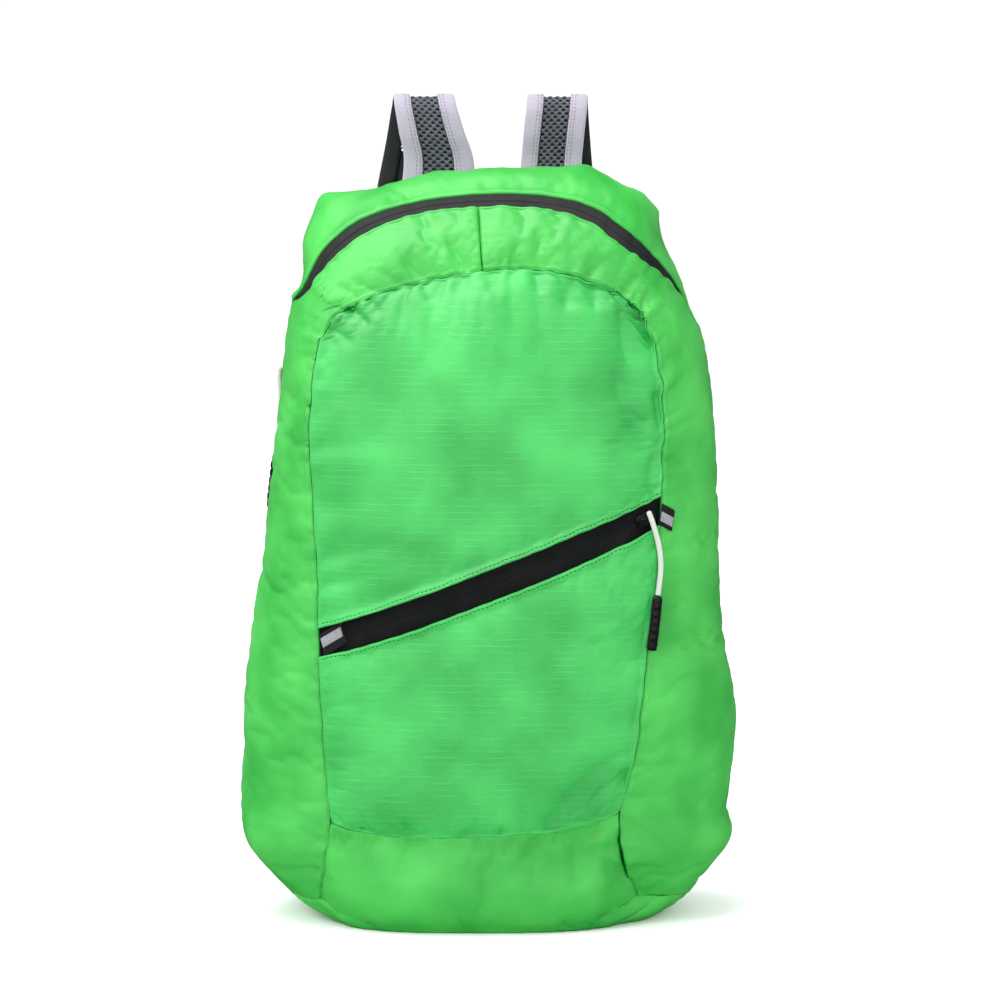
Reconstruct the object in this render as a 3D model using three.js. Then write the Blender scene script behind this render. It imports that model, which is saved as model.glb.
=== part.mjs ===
// Packable backpack of thin ripstop cloth, stuffed and standing on its base.
// Millimetres, +X to the right, +Z up, and the front of the bag faces -Y.
import * as THREE from 'three';

// Sizes of the stuffed bag
const HEIGHT = 440;
const HALF_WIDTH = 144;
const FRONT_REACH = 84;
const BACK_REACH = 52;
const BACK_LEAN = 14;
const BACK_INSET = 18;
const BACK_BULGE = 5;
const FRONT_BULGE = 15;
const CLOTH = 1.4;
const GAP = 0.3;

// Sizes of the two zips and of what hangs from them
const ZIP_WIDTH = 15;
const POCKET_ZIP_LEFT = 172;
const POCKET_ZIP_RIGHT = 248;
const TAPE = 1.4;
const SLIDER = { length: 12, width: 8, height: 3 };
const TAB = { left: 14, right: 9, width: 12.4, stripe: 5.5, margin: 0.5, cloth: 1, print: 0.8 };
const CORD = 3.1;
const PULL_END = { width: 5.9, depth: 4.4, length: 32 };

// Sizes of the shoulder straps
const STRAP_WIDTH = 36;
const STRAP_MESH = 2;
const BINDING_WIDTH = 10;
const BINDING = 1;
const LOOP_RISE = 41;
const WEBBING_WIDTH = 20;
const WEBBING = 1.6;
const BUCKLE = { rim: 2.4, tall: 10, clear: 0.6 };

const CLOTH_GREEN = '#52d668';
const BLACK = '#1f2022';
const GREY = '#a5a1a8';
const STRIPE_GREY = '#83818a';
const MESH_DARK = '#3e4049';
const CORD_GREY = '#b9c0b9';

// One row for each section of the side panel, from the left foot over the top to the right foot.
// The front seam and the crest, which is the outline seen from the front, are each given as
// across (share of HALF_WIDTH), out (share of FRONT_REACH) and up (share of HEIGHT).
// The last column is where the main zip runs, as a share of the way from seam to back.
const SECTIONS = [
  [-0.674, 0.476, 0.036, -0.826, 0.06, 0.039, 0.62],
  [-0.651, 0.667, 0.095, -0.955, 0.06, 0.093, 0.62],
  [-0.632, 0.762, 0.15, -0.996, 0.06, 0.155, 0.62],
  [-0.647, 0.81, 0.223, -0.993, 0.06, 0.223, 0.62],
  [-0.668, 0.833, 0.341, -0.972, 0.06, 0.341, 0.62],
  [-0.677, 0.81, 0.489, -0.906, 0.06, 0.489, 0.62],
  [-0.706, 0.75, 0.659, -0.847, 0.06, 0.648, 0.62],
  [-0.677, 0.69, 0.768, -0.813, 0, 0.768, 0.6],
  [-0.639, 0.673, 0.793, -0.795, -0.048, 0.814, 0.47],
  [-0.597, 0.655, 0.814, -0.795, -0.095, 0.85, 0.28],
  [-0.458, 0.643, 0.838, -0.743, -0.143, 0.927, 0.24],
  [-0.313, 0.631, 0.852, -0.583, -0.143, 0.968, 0.255],
  [-0.153, 0.619, 0.864, -0.313, -0.143, 0.984, 0.285],
  [0, 0.619, 0.871, -0.014, -0.143, 0.998, 0.275],
  [0.153, 0.619, 0.873, 0.264, -0.143, 1, 0.26],
  [0.306, 0.631, 0.867, 0.472, -0.143, 0.993, 0.235],
  [0.458, 0.643, 0.851, 0.639, -0.143, 0.968, 0.2],
  [0.576, 0.655, 0.827, 0.701, -0.143, 0.914, 0.245],
  [0.651, 0.69, 0.783, 0.799, -0.071, 0.832, 0.395],
  [0.69, 0.738, 0.705, 0.875, 0.036, 0.75, 0.6],
  [0.685, 0.774, 0.609, 0.913, 0.06, 0.614, 0.62],
  [0.665, 0.821, 0.466, 0.926, 0.06, 0.466, 0.62],
  [0.625, 0.833, 0.359, 0.955, 0.06, 0.359, 0.62],
  [0.588, 0.821, 0.25, 0.996, 0.06, 0.255, 0.62],
  [0.526, 0.762, 0.164, 0.969, 0.06, 0.15, 0.62],
  [0.545, 0.655, 0.095, 0.958, 0.06, 0.095, 0.62],
  [0.597, 0.476, 0.041, 0.819, 0.06, 0.033, 0.62],
];
const FOOT_RIGHT_ROW = SECTIONS.length - 1;

// Places along the side panel, counted in rows of SECTIONS
const POCKET_LEFT_ROW = 2;
const POCKET_RIGHT_ROW = 24;
const CORNER_LEFT_ROW = 9.4;
const CORNER_RIGHT_ROW = 16.9;
const CENTRE_SEAM_ROW = 12.87;
const ZIP_END_LEFT_ROW = 6.3;
const ZIP_END_RIGHT_ROW = 19.3;

// The base along its middle: share of the way back, out (share of FRONT_REACH), up (share of
// HEIGHT). Below zero means pressed flat by the floor.
const BASE_PROFILE = [
  [0, 0.893, 0.136],
  [0.1, 0.875, 0.07],
  [0.2, 0.76, 0.01],
  [0.3, 0.56, -0.02],
  [0.88, -0.46, -0.02],
  [1, -0.64, 0.014],
];

// Folds and gathers of the side panel: place along it in rows, place from seam to back as a
// share, reach along in rows, reach across as a share, height as a share of FOLD_HEIGHT.
const FOLD_HEIGHT = 5;
const FOLDS = [
  [8.6, 0.62, 0.5, 0.12, -1],
  [9.9, 0.6, 0.35, 0.16, 0.6],
  [10.6, 0.58, 0.25, 0.16, -0.9],
  [11.5, 0.6, 0.3, 0.16, 0.5],
  [12.3, 0.62, 0.25, 0.14, -0.5],
  [13.4, 0.62, 0.3, 0.14, 0.4],
  [14.6, 0.6, 0.25, 0.16, -0.5],
  [15.5, 0.6, 0.3, 0.16, 0.6],
  [16.6, 0.6, 0.3, 0.16, -0.8],
  [17.5, 0.62, 0.4, 0.14, 0.5],
  [22.6, 0.3, 0.5, 0.2, -0.7],
  [24.6, 0.3, 0.5, 0.25, -1],
  [1.4, 0.3, 0.6, 0.25, -0.8],
];

// Folds of the front: place across, place up, reach along and across the fold as shares,
// turn in degrees, height as a share of FOLD_HEIGHT.
const FRONT_FOLDS = [
  [0.86, 0.24, 0.16, 0.04, 52, 0.9],
  [0.93, 0.16, 0.1, 0.05, 75, -0.8],
  [0.42, 0.72, 0.3, 0.08, 68, 0.5],
  [0.66, 0.7, 0.3, 0.07, 105, -0.6],
  [0.3, 0.25, 0.2, 0.07, 30, -0.5],
];

const vec = (x, y, z) => new THREE.Vector3(x, y, z);
const mix = (a, b, share) => a.clone().lerp(b, share);

// A smooth value at a place in a table's column
function column(table, name, place) {
  const last = table.length - 1;
  const row = Math.min(Math.floor(Math.max(place, 0)), last - 1);
  const f = place - row;
  const at = (k) => table[Math.min(Math.max(k, 0), last)][name];
  const [a, b, c, d] = [at(row - 1), at(row), at(row + 1), at(row + 2)];
  return 0.5 * (2 * b + (c - a) * f + (2 * a - 5 * b + 4 * c - d) * f * f
    + (3 * b - a - 3 * c + d) * f * f * f);
}

// The place in a table's rows where its first column reaches a share
function rowOf(table, share) {
  const last = table.length - 1;
  let k = 0;
  while (k < last - 1 && table[k + 1][0] < share) k += 1;
  return k + (share - table[k][0]) / (table[k + 1][0] - table[k][0]);
}

function seam(u) {
  return vec(
    column(SECTIONS, 0, u) * HALF_WIDTH,
    -column(SECTIONS, 1, u) * FRONT_REACH,
    column(SECTIONS, 2, u) * HEIGHT,
  );
}

function crest(u) {
  return vec(
    column(SECTIONS, 3, u) * HALF_WIDTH,
    -column(SECTIONS, 4, u) * FRONT_REACH,
    column(SECTIONS, 5, u) * HEIGHT,
  );
}

// The back seam lies inside the crest, drawn in towards the bag's spine line
const SPINE_LOW = 0.09 * HEIGHT;
const SPINE_HIGH = 0.75 * HEIGHT;
const INSET_UP = 0.75;
function backSeam(u) {
  const k = crest(u);
  const spine = Math.min(Math.max(k.z, SPINE_LOW), SPINE_HIGH);
  const out = new THREE.Vector2(k.x, k.z - spine).normalize();
  const y = BACK_REACH - BACK_LEAN * (k.z / HEIGHT);
  return vec(k.x - BACK_INSET * out.x, y, k.z - BACK_INSET * INSET_UP * out.y);
}

// The side panel without its folds: u counts along SECTIONS, v runs from front seam to back seam
const ROUNDNESS = 1.6;
function plainSide(u, v) {
  const front = Math.min(v, 0.5) * Math.PI;
  const rear = Math.max(v - 0.5, 0) * Math.PI;
  const f = seam(u);
  const k = crest(u);
  const b = backSeam(u);
  const out = Math.sin(front) ** (2 / ROUNDNESS);
  const along = 1 - Math.abs(Math.cos(front)) ** (2 / ROUNDNESS);
  const inward = 1 - Math.cos(rear);
  return vec(
    f.x + (k.x - f.x) * out + (b.x - k.x) * inward,
    f.y + (k.y - f.y) * along + (b.y - k.y) * Math.sin(rear),
    f.z + (k.z - f.z) * out + (b.z - k.z) * inward,
  );
}

const STEP = 0.01;
function side(u, v) {
  const p = plainSide(u, v);
  const along = plainSide(u + STEP, v).sub(plainSide(u - STEP, v));
  const across = plainSide(u, Math.min(v + STEP, 1)).sub(plainSide(u, Math.max(v - STEP, 0)));
  const outward = along.cross(across).normalize().negate();
  let height = 0;
  for (const [place, from, reach, width, share] of FOLDS) {
    height += share * Math.exp(-(((u - place) / reach) ** 2) - ((v - from) / width) ** 2);
  }
  const fade = Math.min(1, 6 * v, 6 * (1 - v));
  return p.addScaledVector(outward, height * FOLD_HEIGHT * fade);
}

// The place on the front seam at a height, searched between two rows
const SEARCH_STEPS = 40;
function seamPlace(low, high, height) {
  let [a, b] = [low, high];
  for (let k = 0; k < SEARCH_STEPS; k += 1) {
    const middle = (a + b) / 2;
    if (seam(middle).z < height) a = middle;
    else b = middle;
  }
  return (a + b) / 2;
}
const leftPlace = (height) => seamPlace(POCKET_LEFT_ROW, ZIP_END_LEFT_ROW, height);
const rightPlace = (height) => seamPlace(POCKET_RIGHT_ROW, ZIP_END_RIGHT_ROW, height);

// The pocket zip slopes, so its tape is taller along the side seams than it is wide
const ZIP_RISE = POCKET_ZIP_RIGHT - POCKET_ZIP_LEFT;
const ZIP_RUN = seam(rightPlace(POCKET_ZIP_RIGHT)).x - seam(leftPlace(POCKET_ZIP_LEFT)).x;
const ZIP_TALL = ZIP_WIDTH * Math.hypot(1, ZIP_RISE / ZIP_RUN);
const ZIP_LEFT = [-0.5, 0.5].map((k) => leftPlace(POCKET_ZIP_LEFT + k * ZIP_TALL));
const ZIP_RIGHT = [-0.5, 0.5].map((k) => rightPlace(POCKET_ZIP_RIGHT + k * ZIP_TALL));

// Steps along the side panel between its named places
const STOPS = [
  [0, 4], [POCKET_LEFT_ROW, 4], [ZIP_LEFT[0], 1], [ZIP_LEFT[1], 3], [ZIP_END_LEFT_ROW, 5],
  [CORNER_LEFT_ROW, 7], [CENTRE_SEAM_ROW, 9], [CORNER_RIGHT_ROW, 5], [ZIP_END_RIGHT_ROW, 3],
  [ZIP_RIGHT[1], 1], [ZIP_RIGHT[0], 4], [POCKET_RIGHT_ROW, 4], [FOOT_RIGHT_ROW, 0],
];
const ALONG = STOPS.flatMap(([from, steps], k) => Array.from(
  { length: Math.max(steps, 1) },
  (_, i) => from + (i / Math.max(steps, 1)) * ((STOPS[k + 1]?.[0] ?? from) - from),
));
const stepAt = (place) => ALONG.findIndex((u) => Math.abs(u - place) < 1e-6);
const stepsBetween = (from, to) => {
  const [a, b] = [stepAt(from), stepAt(to)];
  return a < b ? ALONG.slice(a, b + 1) : ALONG.slice(b, a + 1).reverse();
};

// Where the main zip's two edges and its middle line run on the side panel
function zipShare(u, edge) {
  const v = column(SECTIONS, 6, u);
  const run = plainSide(u, v + STEP).distanceTo(plainSide(u, v - STEP)) / (2 * STEP);
  return v + (edge * ZIP_WIDTH) / 2 / run;
}

// The front, from the pocket's bottom seam to the top of the arch, as one bulged patch.
// s runs across it and t up it, counted in steps that meet the side panel's steps.
const LEFT_UP = stepsBetween(POCKET_LEFT_ROW, CORNER_LEFT_ROW);
const RIGHT_UP = stepsBetween(POCKET_RIGHT_ROW, CORNER_RIGHT_ROW);
const ACROSS = stepsBetween(CORNER_LEFT_ROW, CORNER_RIGHT_ROW);
const UP_STEPS = LEFT_UP.length - 1;
const ACROSS_STEPS = ACROSS.length - 1;
const inList = (list, share) => {
  const k = Math.min(Math.floor(share * (list.length - 1)), list.length - 2);
  const f = share * (list.length - 1) - k;
  return f < 1e-9 ? list[k] : list[k] + f * (list[k + 1] - list[k]);
};

function baseMiddle(share) {
  const row = rowOf(BASE_PROFILE, share);
  return vec(0, -column(BASE_PROFILE, 1, row) * FRONT_REACH, column(BASE_PROFILE, 2, row) * HEIGHT);
}

// How far a line between two side points is pulled towards the middle profile
const FULLNESS = 3;
function pulled(left, right, middle, s) {
  const centre = mix(left, right, 0.5);
  const weight = 1 - Math.abs(2 * s - 1) ** FULLNESS;
  const p = mix(left, right, s);
  p.y += weight * (middle.y - centre.y);
  p.z += weight * (middle.z - centre.z);
  return p;
}

const pocketSeam = (s) => pulled(seam(POCKET_LEFT_ROW), seam(POCKET_RIGHT_ROW), baseMiddle(0), s);
const archTop = (s) => seam(inList(ACROSS, s));

function plainFront(s, t) {
  const p = mix(seam(inList(LEFT_UP, t)), seam(inList(RIGHT_UP, t)), s);
  const low = pocketSeam(s).sub(mix(seam(POCKET_LEFT_ROW), seam(POCKET_RIGHT_ROW), s));
  const high = archTop(s).sub(mix(seam(CORNER_LEFT_ROW), seam(CORNER_RIGHT_ROW), s));
  p.addScaledVector(low, (1 - t) ** 2);
  p.addScaledVector(high, t ** 3);
  p.y -= FRONT_BULGE * 16 * s * (1 - s) * t * (1 - t);
  return p;
}

function front(s, t) {
  const p = plainFront(s, t);
  let height = 0;
  for (const [across, up, reach, width, turn, share] of FRONT_FOLDS) {
    const angle = THREE.MathUtils.degToRad(turn);
    const along = (s - across) * Math.cos(angle) + (t - up) * Math.sin(angle);
    const beside = (t - up) * Math.cos(angle) - (s - across) * Math.sin(angle);
    height += share * Math.exp(-((along / reach) ** 2) - (beside / width) ** 2);
  }
  const fade = Math.min(1, 9 * s, 9 * (1 - s), 9 * t, 9 * (1 - t));
  p.y -= height * FOLD_HEIGHT * fade;
  return p;
}

// The side panel's steps from seam to back: before the zip, over its two halves, and behind it
const FRONT_CELLS = 5;
const REAR_CELLS = 7;
const SIDE_CELLS = FRONT_CELLS + 2 + REAR_CELLS;
function sideShare(u, j) {
  const low = zipShare(u, -1);
  const high = zipShare(u, 1);
  if (j <= FRONT_CELLS) return (low * j) / FRONT_CELLS;
  if (j === FRONT_CELLS + 1) return zipShare(u, 0);
  return high + ((1 - high) * (j - FRONT_CELLS - 2)) / REAR_CELLS;
}

// The base: up the front strip, then under the bag between the side panel's two feet
const STRIP_STEPS = stepAt(POCKET_LEFT_ROW);
const BASE_STEPS = STRIP_STEPS + SIDE_CELLS;
function basePoint(s, k) {
  const foot = Math.max(k - STRIP_STEPS, 0);
  const left = foot > 0 ? side(0, sideShare(0, foot)) : seam(ALONG[STRIP_STEPS - k]);
  const end = ALONG.length - 1;
  const right = foot > 0
    ? side(FOOT_RIGHT_ROW, sideShare(FOOT_RIGHT_ROW, foot))
    : seam(ALONG[end - STRIP_STEPS + k]);
  const p = pulled(left, right, baseMiddle(k / BASE_STEPS), s);
  p.z = Math.max(p.z, 0);
  return p;
}

// The back panel: its sides are the back seam, and its lower edge is the base's back edge
const BACK_LEFT = stepsBetween(0, CORNER_LEFT_ROW);
const BACK_RIGHT = stepsBetween(FOOT_RIGHT_ROW, CORNER_RIGHT_ROW);
function backPoint(s, t) {
  const p = mix(backSeam(inList(BACK_LEFT, t)), backSeam(inList(BACK_RIGHT, t)), s);
  const low = basePoint(s, BASE_STEPS).sub(mix(backSeam(0), backSeam(FOOT_RIGHT_ROW), s));
  const high = backSeam(inList(ACROSS, s));
  high.sub(mix(backSeam(CORNER_LEFT_ROW), backSeam(CORNER_RIGHT_ROW), s));
  p.addScaledVector(low, (1 - t) ** 3);
  p.addScaledVector(high, t ** 3);
  p.y += BACK_BULGE * 16 * s * (1 - s) * t * (1 - t);
  return p;
}

// Cloth pieces as grids of outer points. A cell counts only where its piece covers it.
function grid(columns, rows, place, covers = () => true) {
  const points = Array.from({ length: columns + 1 }, (_, i) => Array.from(
    { length: rows + 1 },
    (_unused, j) => place(i, j),
  ));
  return { columns, rows, points, covers };
}

const beforeZip = (i) => ALONG[i] < ZIP_END_LEFT_ROW - 1e-6 || ALONG[i] > ZIP_END_RIGHT_ROW - 1e-6;
const isRight = (i) => ALONG[i] > CENTRE_SEAM_ROW - 1e-6;
const sidePoint = (i, j) => side(ALONG[i], sideShare(ALONG[i], j));
const sideGrid = (covers) => grid(ALONG.length - 1, SIDE_CELLS, sidePoint, covers);
const inFront = (i, j) => j < FRONT_CELLS || (j === FRONT_CELLS && beforeZip(i));
const inRear = (i, j) => j > FRONT_CELLS + 1 || (j === FRONT_CELLS + 1 && beforeZip(i));

const frontGrid = (covers) => grid(
  ACROSS_STEPS,
  UP_STEPS,
  (i, j) => front(i / ACROSS_STEPS, j / UP_STEPS),
  covers,
);
const ZIP_ROW = stepsBetween(POCKET_LEFT_ROW, ZIP_LEFT[0]).length - 1;

const CLOTH_PIECES = {
  gusset_front_left: sideGrid((i, j) => inFront(i, j) && !isRight(i)),
  gusset_front_right: sideGrid((i, j) => inFront(i, j) && isRight(i)),
  gusset_rear: sideGrid(inRear),
  front_panel_lower: frontGrid((i, j) => j < ZIP_ROW),
  front_panel_upper: frontGrid((i, j) => j > ZIP_ROW),
  base_panel: grid(ACROSS_STEPS, BASE_STEPS, (i, j) => basePoint(i / ACROSS_STEPS, j)),
  back_panel: grid(
    ACROSS_STEPS,
    BACK_LEFT.length - 1,
    (i, j) => backPoint(i / ACROSS_STEPS, j / (BACK_LEFT.length - 1)),
  ),
};

// The two halves of each zip's tape, which meet in a fine line along its middle
const TAPE_PIECES = {
  main_zip_tape_front: sideGrid((i, j) => j === FRONT_CELLS && !beforeZip(i)),
  main_zip_tape_rear: sideGrid((i, j) => j === FRONT_CELLS + 1 && !beforeZip(i)),
  pocket_zip_tape_lower: grid(
    ACROSS_STEPS,
    2,
    (i, j) => front(i / ACROSS_STEPS, (ZIP_ROW + j / 2) / UP_STEPS),
    (i, j) => j === 0,
  ),
  pocket_zip_tape_upper: grid(
    ACROSS_STEPS,
    2,
    (i, j) => front(i / ACROSS_STEPS, (ZIP_ROW + j / 2) / UP_STEPS),
    (i, j) => j === 1,
  ),
};

// Shell making: one shared skin gives the mitred wall directions at every seam
const keyOf = (p) => [p.x, p.y, p.z].map((c) => Math.round(c * 200)).join(',');
const BAG_MIDDLE = vec(0, 0, HEIGHT / 2);

function cellsOf(piece) {
  const cells = [];
  for (let i = 0; i < piece.columns; i += 1) {
    for (let j = 0; j < piece.rows; j += 1) {
      if (piece.covers(i, j)) cells.push([i, j]);
    }
  }
  return cells;
}

function cornersOf([i, j]) {
  return [[i, j], [i + 1, j], [i + 1, j + 1], [i, j + 1]];
}

const pointOf = (piece, [i, j]) => piece.points[i][j];

function cellNormal(piece, cell) {
  const [a, b, c, d] = cornersOf(cell).map((at) => pointOf(piece, at));
  return c.clone().sub(a).cross(d.clone().sub(b)).normalize();
}

// Faces of a piece all turn one way; this says whether that way is out of the bag
function turnsOut(piece) {
  let total = 0;
  for (const cell of cellsOf(piece)) {
    const middle = pointOf(piece, cell).clone().sub(BAG_MIDDLE);
    total += cellNormal(piece, cell).dot(middle);
  }
  return total > 0 ? 1 : -1;
}

function addNormals(piece, skin) {
  const own = new Map();
  for (const cell of cellsOf(piece)) {
    const normal = cellNormal(piece, cell).multiplyScalar(piece.turn);
    for (const corner of cornersOf(cell)) {
      const id = corner.join();
      if (!own.has(id)) own.set(id, vec(0, 0, 0));
      own.get(id).add(normal);
    }
  }
  piece.normals = own;
  for (const [id, normal] of own) {
    normal.normalize();
    const key = keyOf(pointOf(piece, id.split(',').map(Number)));
    if (!skin.has(key)) skin.set(key, vec(0, 0, 0));
    skin.get(key).add(normal);
  }
}

// Borders of a piece, each with the direction into its own cell
function bordersOf(piece) {
  const edges = new Map();
  for (const cell of cellsOf(piece)) {
    const corners = cornersOf(cell);
    corners.forEach((from, k) => {
      const to = corners[(k + 1) % 4];
      const back = `${to.join()}|${from.join()}`;
      if (edges.has(back)) edges.delete(back);
      else edges.set(`${from.join()}|${to.join()}`, { from, to, cell });
    });
  }
  return [...edges.values()];
}

function inwardOf(piece, { from, to, cell }, layer) {
  const a = layer.get(from.join());
  const along = layer.get(to.join()).clone().sub(a).normalize();
  const middle = vec(0, 0, 0);
  for (const corner of cornersOf(cell)) middle.addScaledVector(layer.get(corner.join()), 0.25);
  middle.sub(a);
  return middle.addScaledVector(along, -middle.dot(along)).normalize();
}

// A layer of the wall, drawn in at its borders by half the gap between pieces
function drawnIn(piece, layer, borders) {
  const moves = new Map();
  for (const border of borders) {
    const inward = inwardOf(piece, border, layer);
    for (const end of [border.from, border.to]) {
      const id = end.join();
      moves.set(id, [...(moves.get(id) ?? []), inward]);
    }
  }
  const result = new Map(layer);
  for (const [id, [a, b]] of moves) {
    const both = a.clone().add(b ?? a).multiplyScalar(GAP / 2 / (1 + a.dot(b ?? a)));
    result.set(id, layer.get(id).clone().add(both));
  }
  return result;
}

const MITRE_LIMIT = 0.5;
function shell(piece, wall, skin) {
  const outer = new Map();
  const inner = new Map();
  for (const [id, own] of piece.normals) {
    const p = pointOf(piece, id.split(',').map(Number));
    const shared = skin.get(keyOf(p)).clone().normalize();
    const lean = Math.max(shared.dot(own), MITRE_LIMIT);
    outer.set(id, p);
    inner.set(id, p.clone().addScaledVector(shared, -wall / lean));
  }
  const borders = bordersOf(piece);
  const layers = [outer, inner].map((layer) => drawnIn(piece, layer, borders));
  const ids = [...piece.normals.keys()];
  const index = new Map(ids.map((id, k) => [id, k]));
  const positions = layers.flatMap((layer) => ids.flatMap((id) => layer.get(id).toArray()));
  const faces = [];
  const quad = (a, b, c, d) => {
    if (piece.turn > 0) faces.push(a, b, c, a, c, d);
    else faces.push(a, c, b, a, d, c);
  };
  const inside = ids.length;
  for (const cell of cellsOf(piece)) {
    const [a, b, c, d] = cornersOf(cell).map((at) => index.get(at.join()));
    quad(a, b, c, d);
    quad(a + inside, d + inside, c + inside, b + inside);
  }
  for (const { from, to } of borders) {
    const [a, b] = [index.get(from.join()), index.get(to.join())];
    quad(b, a, a + inside, b + inside);
  }
  return solid(positions, faces);
}

function solid(positions, faces) {
  const geometry = new THREE.BufferGeometry();
  geometry.setAttribute('position', new THREE.Float32BufferAttribute(positions, 3));
  geometry.setIndex(faces);
  geometry.computeVertexNormals();
  return geometry;
}

// A closed profile swept along frames; each frame is a point with its wide and thick directions
function sweep(outline, frames) {
  const [first, second] = frames;
  const along = second.point.clone().sub(first.point);
  const turnsRight = first.wide.clone().cross(first.thick).dot(along) > 0;
  const area = THREE.ShapeUtils.area(outline.map(([x, y]) => new THREE.Vector2(x, y)));
  const profile = turnsRight === area > 0 ? outline : [...outline].reverse();
  const count = profile.length;
  const positions = frames.flatMap(({ point, wide, thick }) => profile.flatMap(
    ([x, y]) => point.clone().addScaledVector(wide, x).addScaledVector(thick, y).toArray(),
  ));
  const faces = [];
  for (let k = 0; k + 1 < frames.length; k += 1) {
    for (let i = 0; i < count; i += 1) {
      const [a, b] = [k * count + i, k * count + ((i + 1) % count)];
      faces.push(a, b, b + count, a, b + count, a + count);
    }
  }
  const flat = profile.map(([x, y]) => new THREE.Vector2(x, y));
  const last = (frames.length - 1) * count;
  for (const [a, b, c] of THREE.ShapeUtils.triangulateShape(flat, [])) {
    const ahead = THREE.ShapeUtils.area([flat[a], flat[b], flat[c]]) > 0 === turnsRight;
    const [d, e] = ahead ? [b, c] : [c, b];
    faces.push(a, e, d, last + a, last + d, last + e);
  }
  return solid(positions, faces);
}

const box = (wide, thick, middle = 0) => [
  [middle - wide / 2, -thick / 2],
  [middle + wide / 2, -thick / 2],
  [middle + wide / 2, thick / 2],
  [middle - wide / 2, thick / 2],
];
const ROUND_SIDES = 10;
const round = (diameter) => Array.from({ length: ROUND_SIDES }, (_, k) => {
  const angle = (2 * Math.PI * k) / ROUND_SIDES;
  return [(diameter / 2) * Math.cos(angle), (diameter / 2) * Math.sin(angle)];
});

// Frames along a route of points, with the wide direction kept near the one given, or equal to
// it where the piece must not twist
function framesAlong(route, steps, wideHint, untwisted = false) {
  const curve = new THREE.CatmullRomCurve3(route, false, 'centripetal');
  return Array.from({ length: steps + 1 }, (_, k) => {
    const along = curve.getTangent(k / steps);
    const thick = along.clone().cross(wideHint).normalize();
    const wide = untwisted ? wideHint : thick.clone().cross(along).normalize();
    return { point: curve.getPoint(k / steps), wide, thick: thick.negate() };
  });
}

// A place on the outside of the bag: point, outward direction, and the direction across
function frameOn(surface, a, b) {
  const point = surface(a, b);
  const across = surface(a + STEP, b).sub(surface(a - STEP, b)).normalize();
  const up = surface(a, b + STEP).sub(surface(a, b - STEP)).normalize();
  const out = across.clone().cross(up).normalize();
  if (out.dot(point.clone().sub(BAG_MIDDLE)) < 0) out.negate();
  return { point, out, across, up: out.clone().cross(across).normalize() };
}

// A small flat piece seated on a frame, lifted clear of what it lies on
function slab({ point, out, across }, { length, width, height }, lift, turn = 0, shift = [0, 0]) {
  const along = across.clone().applyAxisAngle(out, turn);
  const beside = out.clone().cross(along).normalize();
  const start = point.clone().addScaledVector(out, lift)
    .addScaledVector(along, shift[0] - length / 2)
    .addScaledVector(beside, shift[1]);
  const end = start.clone().addScaledVector(along, length);
  const frames = [start, end].map((at) => ({ point: at, wide: beside, thick: out }));
  return sweep([[-width / 2, 0], [width / 2, 0], [width / 2, height], [-width / 2, height]], frames);
}

const group = new THREE.Group();
function add(name, geometry, colour, roughness = 0.85) {
  const material = new THREE.MeshStandardMaterial({ color: colour, roughness, metalness: 0 });
  const mesh = new THREE.Mesh(geometry, material);
  mesh.name = name;
  group.add(mesh);
}

// Cloth panels and zip tapes
const skin = new Map();
const skinPieces = [...Object.values(CLOTH_PIECES), ...Object.values(TAPE_PIECES)];
for (const piece of skinPieces) {
  piece.turn = turnsOut(piece);
  addNormals(piece, skin);
}
for (const [name, piece] of Object.entries(CLOTH_PIECES)) {
  add(name, shell(piece, CLOTH, skin), CLOTH_GREEN, 0.6);
}
for (const [name, piece] of Object.entries(TAPE_PIECES)) {
  add(name, shell(piece, TAPE, skin), BLACK, 0.55);
}

// Pocket zip: a slider near the right end, and a striped tab at each end
const POCKET_MIDDLE = (ZIP_ROW + 0.5) / UP_STEPS;
const SLIDER_PLACE = 0.955;
const LEFT_TAB_PLACE = 0.05;
const sliderSeat = frameOn(front, SLIDER_PLACE, POCKET_MIDDLE);
add('pocket_zip_slider', slab(sliderSeat, SLIDER, GAP), BLACK, 0.35);

// A ribbon tab with a reflective stripe along it, sewn in at the pocket's side seam
function addTab(name, seat, length, lift, turn, shift) {
  const ribbon = { length, width: TAB.width, height: TAB.cloth };
  const stripe = { length: length - 2 * TAB.margin, width: TAB.stripe, height: TAB.print };
  add(name, slab(seat, ribbon, lift, turn, shift), BLACK);
  add(`${name}_stripe`, slab(seat, stripe, lift + TAB.cloth + GAP, turn, shift), STRIPE_GREY, 0.4);
}

const LEFT_TAB_TURN = THREE.MathUtils.degToRad(6);
const leftTabSeat = frameOn(front, LEFT_TAB_PLACE, POCKET_MIDDLE);
addTab('left_tab', leftTabSeat, TAB.left, GAP, LEFT_TAB_TURN, [0, 0]);

const RIGHT_TAB_ROW = (ZIP_RIGHT[0] + ZIP_RIGHT[1]) / 2;
const RIGHT_TAB_SHARE = 0.03;
const RIGHT_TAB_TURN = THREE.MathUtils.degToRad(65);
const RIGHT_TAB_LIFT = 0.9;
const rightTabSeat = frameOn(side, RIGHT_TAB_ROW, RIGHT_TAB_SHARE);
addTab('right_tab', rightTabSeat, TAB.right, RIGHT_TAB_LIFT, RIGHT_TAB_TURN, [TAB.right / 2, 0]);

// Main zip: its slider rests low on the left side
const MAIN_SLIDER_ROW = 6.75;
const sideMiddle = (u, v) => side(u, zipShare(u, v));
const mainSeat = frameOn(sideMiddle, MAIN_SLIDER_ROW, 0);
add('main_zip_slider', slab(mainSeat, SLIDER, GAP), BLACK, 0.35);

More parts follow.
